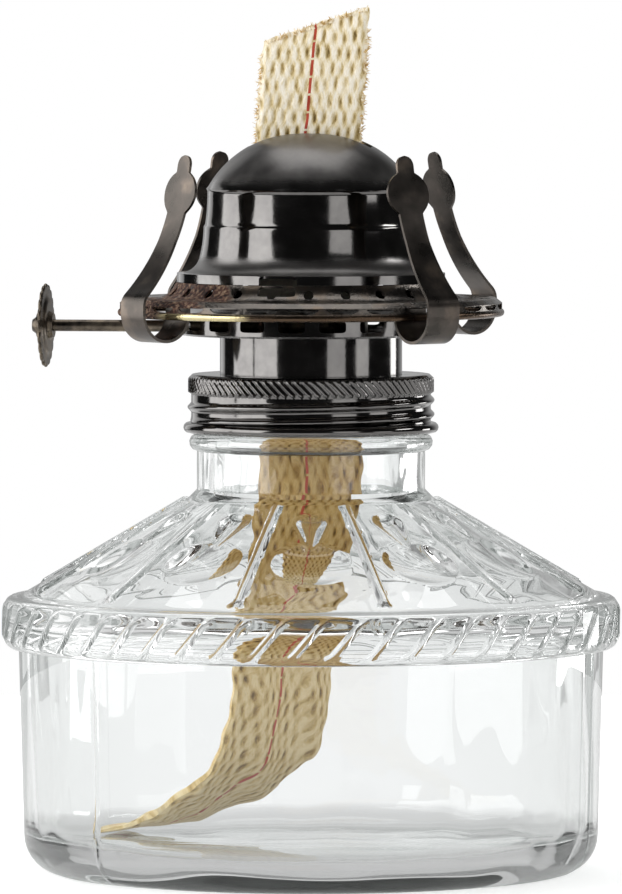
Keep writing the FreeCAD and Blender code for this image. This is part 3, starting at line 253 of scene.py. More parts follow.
# %% [markdown]
# ### Black plate
# The collar, the cup, the pan and the dome are brass with a black nickel plate. It gives the eye a
# dark mirror, which is a metal of middling grey with low roughness that mirrors a dark room. The
# dome's crown and the foot of its skirt are satin, where heat and hands have dulled the plate, so
# some roughness is added at those heights. A fine grit keeps the gloss from looking like lacquer.

# %% Black nickel plate
SATIN_CROWN, SATIN_SKIRT = 0.26, 0.28
black, tree, shader = material("black_nickel_plate", {
    "Metallic": 1.0, "Coat Weight": 0.15, "Coat Roughness": 0.08})
place = add(tree, "TexCoord").outputs["Object"]
mottle = add(tree, "TexNoise", {"Vector": place, "Scale": per_mm(4), "Detail": 5.0})
grit = add(tree, "TexNoise", {"Vector": place, "Scale": per_mm(0.6), "Detail": 3.0})
height = add(tree, "SeparateXYZ", {0: place}).outputs["Z"]
crown = add(tree, "MapRange", {"Value": height, 1: 0.1405, 2: 0.143, 3: 0.0, 4: SATIN_CROWN})
low_skirt = add(tree, "MapRange", {"Value": height, 1: 0.127, 2: 0.1255, 3: 0.0, 4: SATIN_SKIRT})
over_ring = add(tree, "Math", {0: height, 1: 0.12315}, operation="GREATER_THAN")
dulled = add(tree, "Math", {0: low_skirt, 1: over_ring, 2: crown}, operation="MULTIPLY_ADD")
gloss = add(tree, "MapRange", {"Value": mottle, 1: 0.3, 2: 0.8, 3: 0.07, 4: 0.16})
feed(tree, shader, {
    "Base Color": add(tree, "ValToRGB", {0: mottle}, stops=((0.3, "#6A6867"), (0.7, "#7B7977"))),
    "Roughness": add(tree, "Math", {0: gloss, 1: dulled}, operation="ADD"),
    "Normal": add(tree, "Bump", {"Height": grit, "Strength": 0.15, "Distance": 0.03 * MM})})

# %% [markdown]
# ### Gallery steel
# The gallery is blackened sheet steel that has stood near oil and heat. It gives the eye a brownish
# dull metal, with a crust of rust on one side and, towards the front, a bead that hands have rubbed
# down to cream. Both patches are placed by the direction from the axis: the dot product of two unit
# directions is 1 where they agree, and falls off to the sides.

# %% Worn gallery steel
RUST_WAY, RUB_WAY = (-0.82, -0.57, 0), (-0.46, -0.887, 0)
gallery_steel, tree, shader = material("worn_blackened_steel", {})
place = add(tree, "TexCoord").outputs["Object"]
blotch = add(tree, "TexNoise", {"Vector": place, "Scale": per_mm(5), "Detail": 6.0})
grit = add(tree, "TexNoise", {"Vector": place, "Scale": per_mm(0.7), "Detail": 4.0})
level_place = add(tree, "VectorMath", {0: place, 1: (1, 1, 0)}, operation="MULTIPLY")
spoke = add(tree, "VectorMath", {0: level_place}, operation="NORMALIZE")
toward_rust = add(tree, "VectorMath", {0: spoke, 1: RUST_WAY}, operation="DOT_PRODUCT")
toward_rub = add(tree, "VectorMath", {0: spoke, 1: RUB_WAY}, operation="DOT_PRODUCT")
near = add(tree, "MapRange", {"Value": toward_rust.outputs["Value"], 1: 0.8, 2: 0.92, 3: -0.35, 4: 0.2})
rust = add(tree, "MapRange", {"Value": add(tree, "Math", {0: blotch, 1: near}, operation="ADD"),
                              1: 0.5, 2: 0.6})
height = add(tree, "SeparateXYZ", {0: place}).outputs["Z"]
bead = add(tree, "MapRange", {"Value": height, 1: 0.1158, 2: 0.1154})
facing_rub = add(tree, "MapRange", {"Value": toward_rub.outputs["Value"], 1: 0.95, 2: 0.975})
rubbed = add(tree, "Math", {0: facing_rub, 1: bead}, operation="MULTIPLY")
plate = add(tree, "ValToRGB", {0: blotch}, stops=((0.30, "#514E4B"), (0.70, "#796C5F"), (0.5, "#65605B")))
lip = add(tree, "Mix", {0: bead, 6: plate, 7: "#5A4A3C"}, data_type="RGBA")
bare = add(tree, "Mix", {0: rubbed, 6: lip, 7: "#E2D3A4"}, data_type="RGBA")
crust = add(tree, "ValToRGB", {0: grit}, stops=((0.38, "#20140F"), (0.72, "#A58E72"), (0.52, "#5C3C30")))
unrubbed = add(tree, "Math", {0: 1.0, 1: rubbed}, operation="SUBTRACT")
crusty = add(tree, "Math", {0: rust, 1: unrubbed}, operation="MULTIPLY")
crust_height = add(tree, "Math", {0: crusty, 1: 4.0, 2: 1.0}, operation="MULTIPLY_ADD")
relief = add(tree, "Math", {0: grit, 1: crust_height}, operation="MULTIPLY")
blotch_and_crust = add(tree, "Math", {0: blotch, 1: crusty}, operation="ADD")
feed(tree, shader, {
    "Base Color": add(tree, "Mix", {0: crusty, 6: bare, 7: crust}, data_type="RGBA"),
    "Metallic": add(tree, "MapRange", {"Value": crusty, 3: 1.0, 4: 0.2}),
    "Roughness": add(tree, "MapRange", {"Value": blotch_and_crust, 1: 0.3, 2: 1.4, 3: 0.16, 4: 0.75}),
    "Normal": add(tree, "Bump", {"Height": relief, "Strength": 0.5, "Distance": 0.12 * MM})})

# %% [markdown]
# ### Small metal parts and rubber
# These are seen small, so each is one noise that sets both its colour and its gloss: a stain is
# duller as well as paler.

# %% Spring steel and its sheared edge
# Oiled spring steel gives the eye a dark bronze-grey sheen with cloudy stains.
spring_steel, tree, shader = material("oiled_spring_steel", {"Metallic": 1.0})
place = add(tree, "TexCoord").outputs["Object"]
stain = add(tree, "TexNoise", {"Vector": place, "Scale": per_mm(6), "Detail": 6.0})
feed(tree, shader, {
    "Base Color": add(tree, "ValToRGB", {0: stain}, stops=(
        (0.3, "#474440"), (0.72, "#82766B"), (0.55, "#5E5853"))),
    "Roughness": add(tree, "MapRange", {"Value": stain, 3: 0.18, 4: 0.42})})

# The edge that the shear left bare gives the eye a thin pale line round each prong.
sheared_edge, tree, shader = material("sheared_steel_edge", {"Metallic": 1.0})
rub = add(tree, "TexNoise", {"Vector": add(tree, "TexCoord").outputs["Object"],
                             "Scale": per_mm(2), "Detail": 4.0})
feed(tree, shader, {
    "Base Color": add(tree, "ValToRGB", {0: rub}, stops=((0.35, "#8F8776"), (0.6, "#D8D0BC"))),
    "Roughness": add(tree, "MapRange", {"Value": rub, 3: 0.3, 4: 0.5})})

# %% Wheel, tube and gasket
# Tarnished steel gives the eye a brown, half dull metal.
wheel_steel, tree, shader = material("tarnished_wheel_steel", {"Metallic": 1.0})
stain = add(tree, "TexNoise", {"Vector": add(tree, "TexCoord").outputs["Object"],
                               "Scale": per_mm(2.5), "Detail": 6.0})
feed(tree, shader, {
    "Base Color": add(tree, "ValToRGB", {0: stain}, stops=((0.3, "#4A4540"), (0.7, "#8C8070"))),
    "Roughness": add(tree, "MapRange", {"Value": stain, 3: 0.25, 4: 0.5})})

# Tinned sheet gives the eye pale grey flakes, each with a gloss of its own.
tube_steel, tree, shader = material("tinned_tube_steel", {"Metallic": 1.0})
spangle = add(tree, "TexVoronoi", {"Vector": add(tree, "TexCoord").outputs["Object"],
                                   "Scale": per_mm(3)})
feed(tree, shader, {
    "Base Color": add(tree, "ValToRGB", {0: spangle.outputs["Color"]}, stops=(
        (0.2, "#8F8A80"), (0.8, "#B5AFA3"))),
    "Roughness": add(tree, "MapRange", {"Value": spangle, 3: 0.3, 4: 0.45})})

# Vulcanised rubber gives the eye a dull soft black.
rubber, tree, shader = material("vulcanised_rubber", {})
speck = add(tree, "TexNoise", {"Vector": add(tree, "TexCoord").outputs["Object"],
                               "Scale": per_mm(0.5), "Detail": 3.0})
feed(tree, shader, {
    "Base Color": add(tree, "ValToRGB", {0: speck}, stops=((0.3, "#1C1A19"), (0.7, "#2C2926"))),
    "Roughness": add(tree, "MapRange", {"Value": speck, 3: 0.6, 4: 0.8})})

# %% [markdown]
# ### Cotton
# The wick is a thick tape of loosely spun cotton. It gives the eye pale cords with dark hollows
# between them, a fuzz of crossing fibres, a browner tone along the middle of its length, and one red
# thread sewn down the middle. The cords themselves are modelled, and the mesh carries the depth of
# the hollows as the attribute "weave", so that painted shade can darken the hollows here. The rest
# follows the tape through its own UV map, in which x runs across the tape and y along it, each from
# 0 to 1.

# %% Cotton: fibres and hollows
WICK_WIDTH, CLOTH_RUN = 21.6, 200.0
FIBRE_LEAN, FIBRE_STRETCH = 0.22, 0.22
cotton, tree, shader = material("woven_cotton_wick", {"Sheen Weight": 0.2, "Roughness": 0.9})
cloth = add(tree, "SeparateXYZ", {0: add(tree, "UVMap", uv_map="cloth")})
strands = []
for lean in (FIBRE_LEAN, -FIBRE_LEAN):
    along = add(tree, "Math", {0: cloth.outputs["Y"], 1: CLOTH_RUN}, operation="MULTIPLY")
    leaning = add(tree, "Math", {0: along, 1: lean}, operation="MULTIPLY")
    across = add(tree, "Math", {0: cloth.outputs["X"], 1: WICK_WIDTH, 2: leaning}, operation="MULTIPLY_ADD")
    stretched = add(tree, "Math", {0: along, 1: FIBRE_STRETCH}, operation="MULTIPLY")
    yarn_place = add(tree, "CombineXYZ", {"X": across, "Y": stretched, "Z": lean})
    strands.append(add(tree, "TexNoise", {"Vector": yarn_place, "Scale": 2.4, "Detail": 3.0,
                                          "Roughness": 0.65}))
fibre = add(tree, "Math", {0: strands[0], 1: strands[1]}, operation="MAXIMUM")
patch = add(tree, "TexNoise", {"Vector": yarn_place, "Scale": 0.45, "Detail": 2.0})
depth = add(tree, "MapRange", {"Value": patch, 1: 0.35, 2: 0.65, 3: 0.45, 4: 1.0})
# Painted shade: the weave attribute is high in the hollows between the cords and darkens them.
hollow_depth_for_shade = add(tree, "Attribute", attribute_name="weave").outputs["Fac"]
weave = add(tree, "Math", {0: hollow_depth_for_shade, 1: depth}, operation="MULTIPLY")
weave_and_painted_shade = add(tree, "Math", {0: weave, 1: 0.85}, operation="ADD")
shade = add(tree, "Math", {0: fibre, 1: -1.5, 2: weave_and_painted_shade}, operation="MULTIPLY_ADD")

# %% Cotton: colours and the red thread
THREAD_HALF, STITCHES, STITCH_SHARE = 0.0135, 47.0, 0.88
yarn = add(tree, "ValToRGB", {0: shade}, stops=(
    (0.0, "#FFF7E6"), (0.95, "#77602F"), (0.22, "#F3E6C8"), (0.45, "#DFCB9C"), (0.68, "#B59B62")))
# Browner along the middle of the tape's length, where it runs down through the collar and the neck.
browner_mid_length = add(tree, "ValToRGB", {0: cloth.outputs["Y"]}, stops=(
    (0.2, "#FFFFFF"), (1.0, "#F6EBCB"), (0.40, "#CDB27C"), (0.60, "#C9AE79"), (0.70, "#E8D9B6")))
toned_yarn = add(tree, "Mix", {0: 1.0, 6: yarn, 7: browner_mid_length}, data_type="RGBA", blend_type="MULTIPLY")
middle = add(tree, "ValToRGB", {0: cloth.outputs["Y"]}, stops=((0.0, "#BCBCBC"), (0.14, "#B7B7B7")))
on_line = add(tree, "Math", {0: cloth.outputs["X"], 1: middle, 2: THREAD_HALF}, operation="COMPARE")
stitch_run = add(tree, "Math", {0: cloth.outputs["Y"], 1: STITCHES}, operation="MULTIPLY")
dash = add(tree, "Math", {0: stitch_run}, operation="FRACT")
on_top = add(tree, "Math", {0: dash, 1: STITCH_SHARE}, operation="LESS_THAN")
thread = add(tree, "Math", {0: on_line, 1: on_top}, operation="MULTIPLY")
feed(tree, shader, {
    "Base Color": add(tree, "Mix", {0: thread, 6: toned_yarn, 7: "#B8452F"}, data_type="RGBA"),
    "Normal": add(tree, "Bump", {"Height": fibre, "Strength": 0.9, "Distance": 0.35 * MM})})

# Loose cotton gives the eye a pale fuzz, with single fibres darker than their neighbours.
loose_fibre, tree, shader = material("loose_cotton_fibre", {"Sheen Weight": 0.2, "Roughness": 0.9})
tuft = add(tree, "TexNoise", {"Vector": add(tree, "TexCoord").outputs["Object"], "Scale": per_mm(1.5)})
feed(tree, shader, {
    "Base Color": add(tree, "ValToRGB", {0: tuft}, stops=((0.4, "#C9A563"), (0.6, "#FBF0D6")))})

print("finishes", [m.name for m in bpy.data.materials])


# %% [markdown]
# ## Turned shapes
# Nearly every part of the lamp is round about one axis, pressed or spun. Each starts as an
# outline in millimetres, which is spun about that axis.

# %% Helpers for turned shapes
def trace(outline):
    """An outline's points. A corner is (across, up, parts of the run before it), and a point
    marked "arc" is the middle of the arc between its neighbours."""
    points, middle = [Vector(outline[0][:2])], None
    for across, up, *parts in outline[1:]:
        if parts == ["arc"]:
            middle = Vector((across, up))
            continue
        start, end = points[-1].copy(), Vector((across, up))
        count = parts[0] if parts else 1
        if middle is None:
            points += [start.lerp(end, k / count) for k in range(1, count + 1)]
            continue
        # The centre of the circle through start, middle and end, where two bisectors meet.
        a, b = middle - start, end - start
        centre = start + Vector((b.y * a.length_squared - a.y * b.length_squared,
                                 a.x * b.length_squared - b.x * a.length_squared)) / (
                                     2 * (a.x * b.y - a.y * b.x))
        spokes = [p - centre for p in (start, middle, end)]
        angles = [atan2(s.y, s.x) for s in spokes]
        sweep = sum((angles[n + 1] - angles[n] + pi) % (2 * pi) - pi for n in (0, 1))
        points += [centre + Matrix.Rotation(sweep * k / count, 2) @ spokes[0]
                   for k in range(1, count + 1)]
        middle = None
    return points


def turned(outline, steps):
    """A mesh spun from an outline about the lamp's axis: an eighth of the round, then its copies."""
    mesh = bmesh.new()
    corners = [mesh.verts.new((across, 0, up)) for across, up in trace(outline)]
    edges = [mesh.edges.new(pair) for pair in zip(corners, corners[1:])]
    bmesh.ops.spin(mesh, geom=corners + edges, cent=(0, 0, 0), axis=(0, 0, 1), angle=2 * pi / 8,
                   steps=steps // 8)
    eighth = mesh.verts[:] + mesh.edges[:] + mesh.faces[:]
    bmesh.ops.spin(mesh, geom=eighth, cent=(0, 0, 0), axis=(0, 0, 1), angle=2 * pi * 7 / 8,
                   steps=7, use_duplicate=True)
    bmesh.ops.remove_doubles(mesh, verts=mesh.verts, dist=0.001)
    bmesh.ops.recalc_face_normals(mesh, faces=mesh.faces)
    return mesh


def finished(name, mesh, body, finishes, crease=35, nodes=()):
    """Scale a mesh from millimetres, shade it smooth up to its creases, dress it and mount it."""
    bmesh.ops.scale(mesh, vec=(MM, MM, MM), verts=mesh.verts)
    for face in mesh.faces:
        face.smooth = True
    for line in mesh.edges:
        line.smooth = len(line.link_faces) == 2 and line.calc_face_angle(0) < radians(crease)
    data = bpy.data.meshes.new(name)
    mesh.to_mesh(data)
    mesh.free()
    for finish in finishes:
        data.materials.append(finish)
    made = bpy.data.objects.new(name, data)
    bpy.context.scene.collection.objects.link(made)
    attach(made, body)
    if nodes:
        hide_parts(*nodes)
    print(name, len(data.polygons), "faces", [round(v / MM, 1) for v in made.dimensions])
    return made


def bump(distance, half):
    """A smooth rounded hump, 1 at distance 0 and 0 from half outwards."""
    share = min(1.0, abs(distance) / half)
    return (1 - share * share) ** 2


def off_turn(angle, count, middle=0.0):
    """The angle from the nearest of count equal spokes, one of which is at middle."""
    step = 2 * pi / count
    return (angle - middle + step / 2) % step - step / 2


# %% [markdown]
# ## Glass font
# The font is pressed in a mould in one go and then blown out, so its pattern is only outside and
# its inside is smooth but uneven. Its ribs and flutes could be separate shapes joined to the wall,
# but glass shows every join. So it is one closed skin, spun with enough steps to carry the pattern.
# Its points are then crowded round towards the ribs and pushed in or out by short formulas: level
# on the walls, along the shoulder's own slope there, and up on the floor inside. Three seams of the
# mould run up the outside.

# %% Glass font: spin
PANELS, ROPES = 12, 50
PANEL_TURN, ROPE_LEAN = radians(-81.5), 0.70
RIM_LOW, RIM_HIGH, SHOULDER_FOOT = 46.3, 56.8, (58.5, 57.6)
RIM_TWIST = ROPE_LEAN * 10.5 / ROPES
MOULD_SEAM, SEAM_TURN = 0.2, radians(-8.4)
SLOPE = Vector((0.5015, 0, 0.8652))
shoulder_foot = Vector((SHOULDER_FOOT[0], 0, SHOULDER_FOOT[1]))
font_mesh = turned([
    (0, 1.2), (44.1, 1.2, 3), (45.3, 0), (51.3, 0), (56.745, 2.343, "arc"), (59, 8, 8),
    (60, RIM_LOW, 8), (61.15, RIM_LOW, 2), (62.42, 46.83, "arc"), (62.95, 48.1, 4), (62.95, 55, 16),
    (62.42, 56.27, "arc"), (61.15, RIM_HIGH, 4), (60, RIM_HIGH, 2), SHOULDER_FOOT, (25.2, 76.9, 60),
    (23.4, 78.7, 2), (23.4, 86.6, 10), (25, 88.4, "arc"), (22.9, 90.2, 6), (22.9, 92.9),
    (23.7, 93.9, "arc"), (22.9, 94.9, 4), (22.9, 95.8), (23.7, 96.8, "arc"), (22.9, 97.8, 4),
    (22.9, 100.9), (20, 100.9), (20, 76.21, 20), (53.6, 53.6, 10), (55.79, 51.18, "arc"),
    (56.6, 48, 10), (55.8, 10.7, 9),
    (54.043, 6.457, "arc"), (49.8, 4.7, 6), (0, 4.7, 14)], 600)


# %% Glass font: pattern of the rim
def rib(side, half):
    """A half-round rib: 1 at its middle and 0 at half to either side."""
    return sqrt(max(0.0, 1 - (side / half) ** 2))


def press_rim(radius, angle, z):
    """The rim is a rope: points crowd round towards its leaning strands, which stand out."""
    up = z - RIM_LOW
    flat = min(1.0, max(0.0, min(up, RIM_HIGH - z) / 1.8))
    angle += (ROPE_LEAN * up - 0.6 * flat * sin(ROPES * off_turn(angle, ROPES))) / ROPES
    side = off_turn(angle - ROPE_LEAN * up / ROPES, ROPES) * radius
    ends = min(1.0, max(0.0, (z - 47.7) / 1.2), max(0.0, (55.4 - z) / 1.2))
    return angle, 0.55 * rib(side, 1.1) * sqrt(ends)


# %% Glass font: pattern of the shoulder
def press_shoulder(radius, angle):
    """The shoulder has panels with a rib between each two. Each panel is pressed in by a round
    thumbprint and, above it, by a flute that widens upwards and ends round, like a drop."""
    up = (SHOULDER_FOOT[0] - radius) / SLOPE.z
    angle += 0.5 * min(1.0, up / 2) * sin(PANELS * off_turn(angle, PANELS, PANEL_TURN)) / PANELS
    spoke = off_turn(angle, PANELS, PANEL_TURN)
    side, edge = radius * spoke, radius * (pi / PANELS - abs(spoke))
    thumbprint = 1.5 * max(0.0, 1 - (side / 8.2) ** 2 - ((up - 16.2) / 7.5) ** 2)
    share = min(1.0, max(0.0, (up - 23) / 8.2))
    drop = (side ** 2 + max(0.0, up - 31.2) ** 2) / (0.9 + 2.3 * share) ** 2
    flute = (0.5 + 0.8 * share) * max(0.0, 1 - drop) * min(1.0, max(0.0, (up - 21.5) / 1.5))
    ends = min(1.0, max(0.0, up - 0.8), max(0.0, 37.7 - up))
    return angle, 0.95 * rib(edge, 1.15) * sqrt(ends) - max(thumbprint, flute)


# %% Glass font: press the pattern
UP, OUT = Vector((0, 0, 1)), Vector((1, 0, 0))
for vertex in font_mesh.verts:
    x, y, z = vertex.co
    radius, angle = hypot(x, y), atan2(y, x)
    way, push = OUT, 0.0
    off_slope = (Vector((radius, 0, z)) - shoulder_foot).dot(SLOPE)
    if radius > 60.1 and z < 56.85:
        angle, push = press_rim(radius, angle, z)
    elif abs(off_slope) < 0.02 and 57.59 < z < 76.95:
        angle, push = press_shoulder(radius, angle + RIM_TWIST)
        way = SLOPE
    elif z > 56.7:
        angle += RIM_TWIST
    inside = radius < 57 and 4.6 < z < 100 and (radius < 20.1 or off_slope < -0.5)
    if inside and z < 5.2:
        push = 0.45 * noise.noise(Vector((x / 22, y / 12, 3))) + 0.1 * sin(radius / 3)
        way = UP
    elif inside and radius > 20.1:
        push = 0.3 * noise.noise(Vector((x / 8, y / 8, z / 45)))
    elif inside or 78.8 < z < 86.5:
        push = 0.05 * noise.noise(Vector((x / 2, y / 2, z / 6)))
    elif radius > 30:
        push += MOULD_SEAM * bump(off_turn(angle, 3, SEAM_TURN) * radius, 0.5)
    radius, z = radius + push * way.x, z + push * way.z
    vertex.co = (radius * cos(angle), radius * sin(angle), z)
finished("font_of_pressed_glass", font_mesh, "font", [glass], nodes=["glass_font"])

# %% [markdown]
# ## Screw collar
# The collar is spun from thin sheet: a curled lower edge, a thread rolled in from outside, and a
# band knurled with slanting strokes for the fingers. A screw modifier could make the thread, but it
# would lie on the wall as a second shape. Here the thread and the knurling are moves of the spun
# wall, so that they stay one skin with it.

# %% Screw collar
STROKES, STROKE_DEPTH = 92, 0.25
THREAD_PITCH, THREAD_DEPTH, THREAD_HALF, THREAD_RUNOUT = 2.9, 0.75, 1.1, 0.8
collar_mesh = turned([
    (16.25, 96), (16.25, 102.0, 3), (16.55, 102.3), (24.4, 102.3, 4), (25.0, 101.7, 2),
    (25.0, 98.7, 9), (24.6, 98.3), (24.6, 92.3, 30), (26.2, 91.4, "arc"), (24.6, 90.5, 8),
    (24.05, 90.5), (24.05, 101.75, 4), (16.8, 101.75, 2), (16.8, 96, 2), (16.25, 96)], 736)
for vertex in collar_mesh.verts:
    x, y, z = vertex.co
    radius, angle = hypot(x, y), atan2(y, x)
    if radius > 24.9 and 98.6 < z < 101.8:
        stroke = off_turn(angle + (z - 100.5) / 25, STROKES) * 25 / 0.85
        radius += STROKE_DEPTH * cos(pi * stroke) * min(1.0, (101.75 - z) / 0.4)
    elif radius > 24.5 and 92.4 < z < 98.4:
        rise = THREAD_PITCH * ((angle + pi) / (2 * pi))
        first = bump(z - 92.6 - rise, THREAD_HALF) * min(1.0, (angle + pi) / THREAD_RUNOUT)
        second = bump(z - 95.5 - rise, THREAD_HALF) * min(1.0, (pi - angle) / THREAD_RUNOUT)
        radius += THREAD_DEPTH * max(first, second)
    vertex.co = (radius * cos(angle), radius * sin(angle), z)
finished("collar_of_spun_sheet", collar_mesh, "collar", [black], 50, ["screw_collar"])

# %% [markdown]
# ## Sheet parts
# The pan, the gallery and the dome are stamped from one sheet each. They are spun as a single
# skin, their openings are cut in that skin, and it is then given its thickness, which also makes
# the walls of the openings.


# %% Helpers for sheet parts
def pierce(mesh, count, turn, place, along, half, power=4.0, taper=0.0):
    """Open count holes in a spun skin. Each is half[0] wide either way round the axis and half[1]
    along the skin's run from place, with corners as round as power makes them."""
    place, along = Vector(place), Vector(along).normalized()

    def measure(point):
        radius, angle = hypot(point.x, point.y), atan2(point.y, point.x)
        off = off_turn(angle, count, turn)
        run = Vector((radius, point.z)) - place
        up = run.dot(along) / half[1]
        side = off * place.x / (half[0] * (1 + taper * up))
        return angle - off, side, up, run.dot(along.orthogonal()), (
            abs(side) ** power + abs(up) ** power) ** (1 / power)

    doomed = []
    for face in mesh.faces:
        *_, level, share = measure(face.calc_center_median())
        if share < 1 and abs(level) < 0.8:
            doomed.append(face)
    rim = {v for face in doomed for v in face.verts}
    bmesh.ops.delete(mesh, geom=doomed, context="FACES")
    for vertex in rim:
        if vertex.is_valid and vertex.link_faces:
            spoke, side, up, level, share = measure(vertex.co)
            side, up = side / share, up / share
            run = place + along * up * half[1] + along.orthogonal() * level
            angle = spoke + side * half[0] * (1 + taper * up) / place.x
            vertex.co = (run.x * cos(angle), run.x * sin(angle), run.y)
    print("  pierced", count, "times,", len(doomed), "faces out")


def sheet_metal(mesh, thickness, top=True):
    """Face a spun skin upwards, or outwards where it has no top, then thicken it inwards."""
    bmesh.ops.recalc_face_normals(mesh, faces=mesh.faces)
    facing = 0.0
    for face in mesh.faces:
        outward = face.calc_center_median() * Vector((1, 1, 0))
        facing += face.calc_area() * (face.normal.z if top else face.normal.dot(outward))
    if facing < 0:
        bmesh.ops.reverse_faces(mesh, faces=mesh.faces)
    bmesh.ops.solidify(mesh, geom=mesh.faces[:], thickness=thickness)
    bmesh.ops.recalc_face_normals(mesh, faces=mesh.faces)
    return mesh


# %% [markdown]
# ### Air pan
# The pan under the gallery lets air in through a row of square windows, in black plate. A boolean
# could cut them from a finished wall, but a skin that is cut before it is thickened keeps clean
# faces round each window.

# %% Air pan
pan_mesh = turned([(18.2, 110.4), (26.5, 110.4, 8), (26.9, 110.8, 2), (26.9, 111.2), (26.9, 114.4, 14),
                   (31.5, 117.15, 6)], 360)
pierce(pan_mesh, 20, 0, (26.9, 112.8), (0, 1), (2.75, 1.2), 5.0)
sheet_metal(pan_mesh, 0.4, top=False)
finished("pan_of_stamped_sheet", pan_mesh, "burner", [black], 35, ["air_pan"])

# %% [markdown]
# ### Gallery
# The gallery carries the chimney. A row of small holes for the draught runs round its outer wall,
# one round its flat ring and one round its slope, and its edge curls down into a bead. One wide
# notch goes through the slope, in line with the notch in the dome's foot.

# %% Gallery
NOTCH_TURN = radians(-95.8)
gallery_mesh = turned([
    (26.6, 121.2), (27.7, 121.2, 2), (28.9, 119.3, "arc"), (31.0, 118.0, 12), (37.9, 118.0, 16),
    (39.2, 117.0, 4), (39.2, 115.75, 10), (39.65, 115.0, "arc"), (38.9, 114.25, 8), (38.6, 114.5)], 600)
pierce(gallery_mesh, 30, 0, (39.2, 116.375), (0, 1), (3.0, 0.55), 4.0, taper=0.25)
pierce(gallery_mesh, 24, radians(7.5), (28.9, 119.3), (0.72, -0.69), (1.0, 1.2), 2.0)
pierce(gallery_mesh, 20, 0, (36.0, 118.0), (1, 0), (1.6, 1.1), 3.0)
pierce(gallery_mesh, 1, NOTCH_TURN, (28.3, 119.9), (0.6, -0.8), (3.9, 1.2), 8.0)
sheet_metal(gallery_mesh, 0.5)
finished("gallery_of_stamped_sheet", gallery_mesh, "burner", [gallery_steel], 40,
         ["gallery"])

# %% [markdown]
# ### Deflector dome
# The dome guides the draught past the flame, and the wick burns in the slot across its top. The
# slot is straight while the skin is round, so its four sides are first cut into the crown as
# planes, and the faces between them are then taken out.

# %% Deflector dome
SLOT_HALF_LONG, SLOT_HALF_WIDE, CROWN_LEVEL = 12.8, 3.3, 146
dome_mesh = turned([
    (27.5, 121.3), (27.5, 123.1, 6), (24.177, 124.096, "arc"), (22.8, 126.5, 10),
    (22.23, 129.5, "arc"), (22.0, 132.6, 10), (21.7, 133.1, 2), (21.33, 136.4, "arc"),
    (21.25, 139.9, 10), (21.5, 140.3, 2), (21.0, 140.9, 2), (15.9, 146.9, "arc"), (0, 151.6, 34)], 360)
for flat, normal in (((SLOT_HALF_LONG, 0, 0), (1, 0, 0)), ((-SLOT_HALF_LONG, 0, 0), (1, 0, 0)),
                     ((0, SLOT_HALF_WIDE, 0), (0, 1, 0)), ((0, -SLOT_HALF_WIDE, 0), (0, 1, 0))):
    crown = [f for f in dome_mesh.faces if f.calc_center_median().z > CROWN_LEVEL]
    crown += list({e for f in crown for e in f.edges}) + list({v for f in crown for v in f.verts})
    bmesh.ops.bisect_plane(dome_mesh, geom=crown, plane_co=flat, plane_no=normal, dist=1e-4)
slot = [f for f in dome_mesh.faces if abs(f.calc_center_median().x) < SLOT_HALF_LONG
        and abs(f.calc_center_median().y) < SLOT_HALF_WIDE and f.calc_center_median().z > CROWN_LEVEL]
bmesh.ops.delete(dome_mesh, geom=slot, context="FACES")
pierce(dome_mesh, 1, NOTCH_TURN, (27.5, 121.3), (0, 1), (4.0, 1.85), 8.0)
sheet_metal(dome_mesh, 0.5)
finished("dome_of_stamped_sheet", dome_mesh, "cap", [black], 40, ["deflector_dome"])

# %% [markdown]
# ## Thumb wheel
# The wheel that winds the wick is a thin dished disc with a scalloped edge. It is spun like the
# rest, then laid over onto the shaft's axis.

# %% Thumb wheel
SCALLOPS, SCALLOP_DEPTH, WHEEL_PLACE = 20, 0.55, (-54.3, -5.2, 112.2)
wheel_mesh = turned([
    (1.25, -1.7), (2.5, -1.7, 2), (3.0, 0.15, 3), (5.33, 0.15, 3), (6.2, -0.35, 2), (8.35, -0.35, 3),
    (8.6, 0, "arc"), (8.35, 0.35, 4), (6.2, 0.35, 3), (5.33, 0.85, 2), (3.0, 0.85, 3), (2.5, 1.7, 3),
    (1.25, 1.7, 2), (1.25, -1.7, 2)], 240)
for vertex in wheel_mesh.verts:
    radius, angle = hypot(vertex.co.x, vertex.co.y), atan2(vertex.co.y, vertex.co.x)
    if radius > 8:
        shrink = 1 - SCALLOP_DEPTH * (1 - abs(cos(SCALLOPS / 2 * angle))) ** 1.2 / radius
        vertex.co = (vertex.co.x * shrink, vertex.co.y * shrink, vertex.co.z)
bmesh.ops.rotate(wheel_mesh, matrix=Matrix.Rotation(pi / 2, 3, "Y"), verts=wheel_mesh.verts)
bmesh.ops.translate(wheel_mesh, vec=WHEEL_PLACE, verts=wheel_mesh.verts)
finished("thumb_wheel_of_stamped_steel", wheel_mesh, "knob", [wheel_steel], 40,
         ["thumb_wheel"])


# %% [markdown]
# ## Strips
# The chimney prongs and the wick are flat strips that follow a line. A strip starts as a flat
# grid with its thickness, whose points are then carried onto the line.

# %% Helper for strips
def strip(columns, rows, thickness):
    """A flat slab of grid faces: 0 to 1 across, 0 to 1 along, and its thickness up."""
    mesh = bmesh.new()
    bmesh.ops.create_grid(mesh, x_segments=columns, y_segments=rows, size=0.5)
    bmesh.ops.translate(mesh, vec=(0.5, 0.5, -thickness / 2), verts=mesh.verts)
    shell = bmesh.ops.extrude_face_region(mesh, geom=mesh.faces[:])
    lifted = [v for v in shell["geom"] if isinstance(v, bmesh.types.BMVert)]
    bmesh.ops.translate(mesh, vec=(0, 0, thickness), verts=lifted)
    bmesh.ops.recalc_face_normals(mesh, faces=mesh.faces)
    return mesh


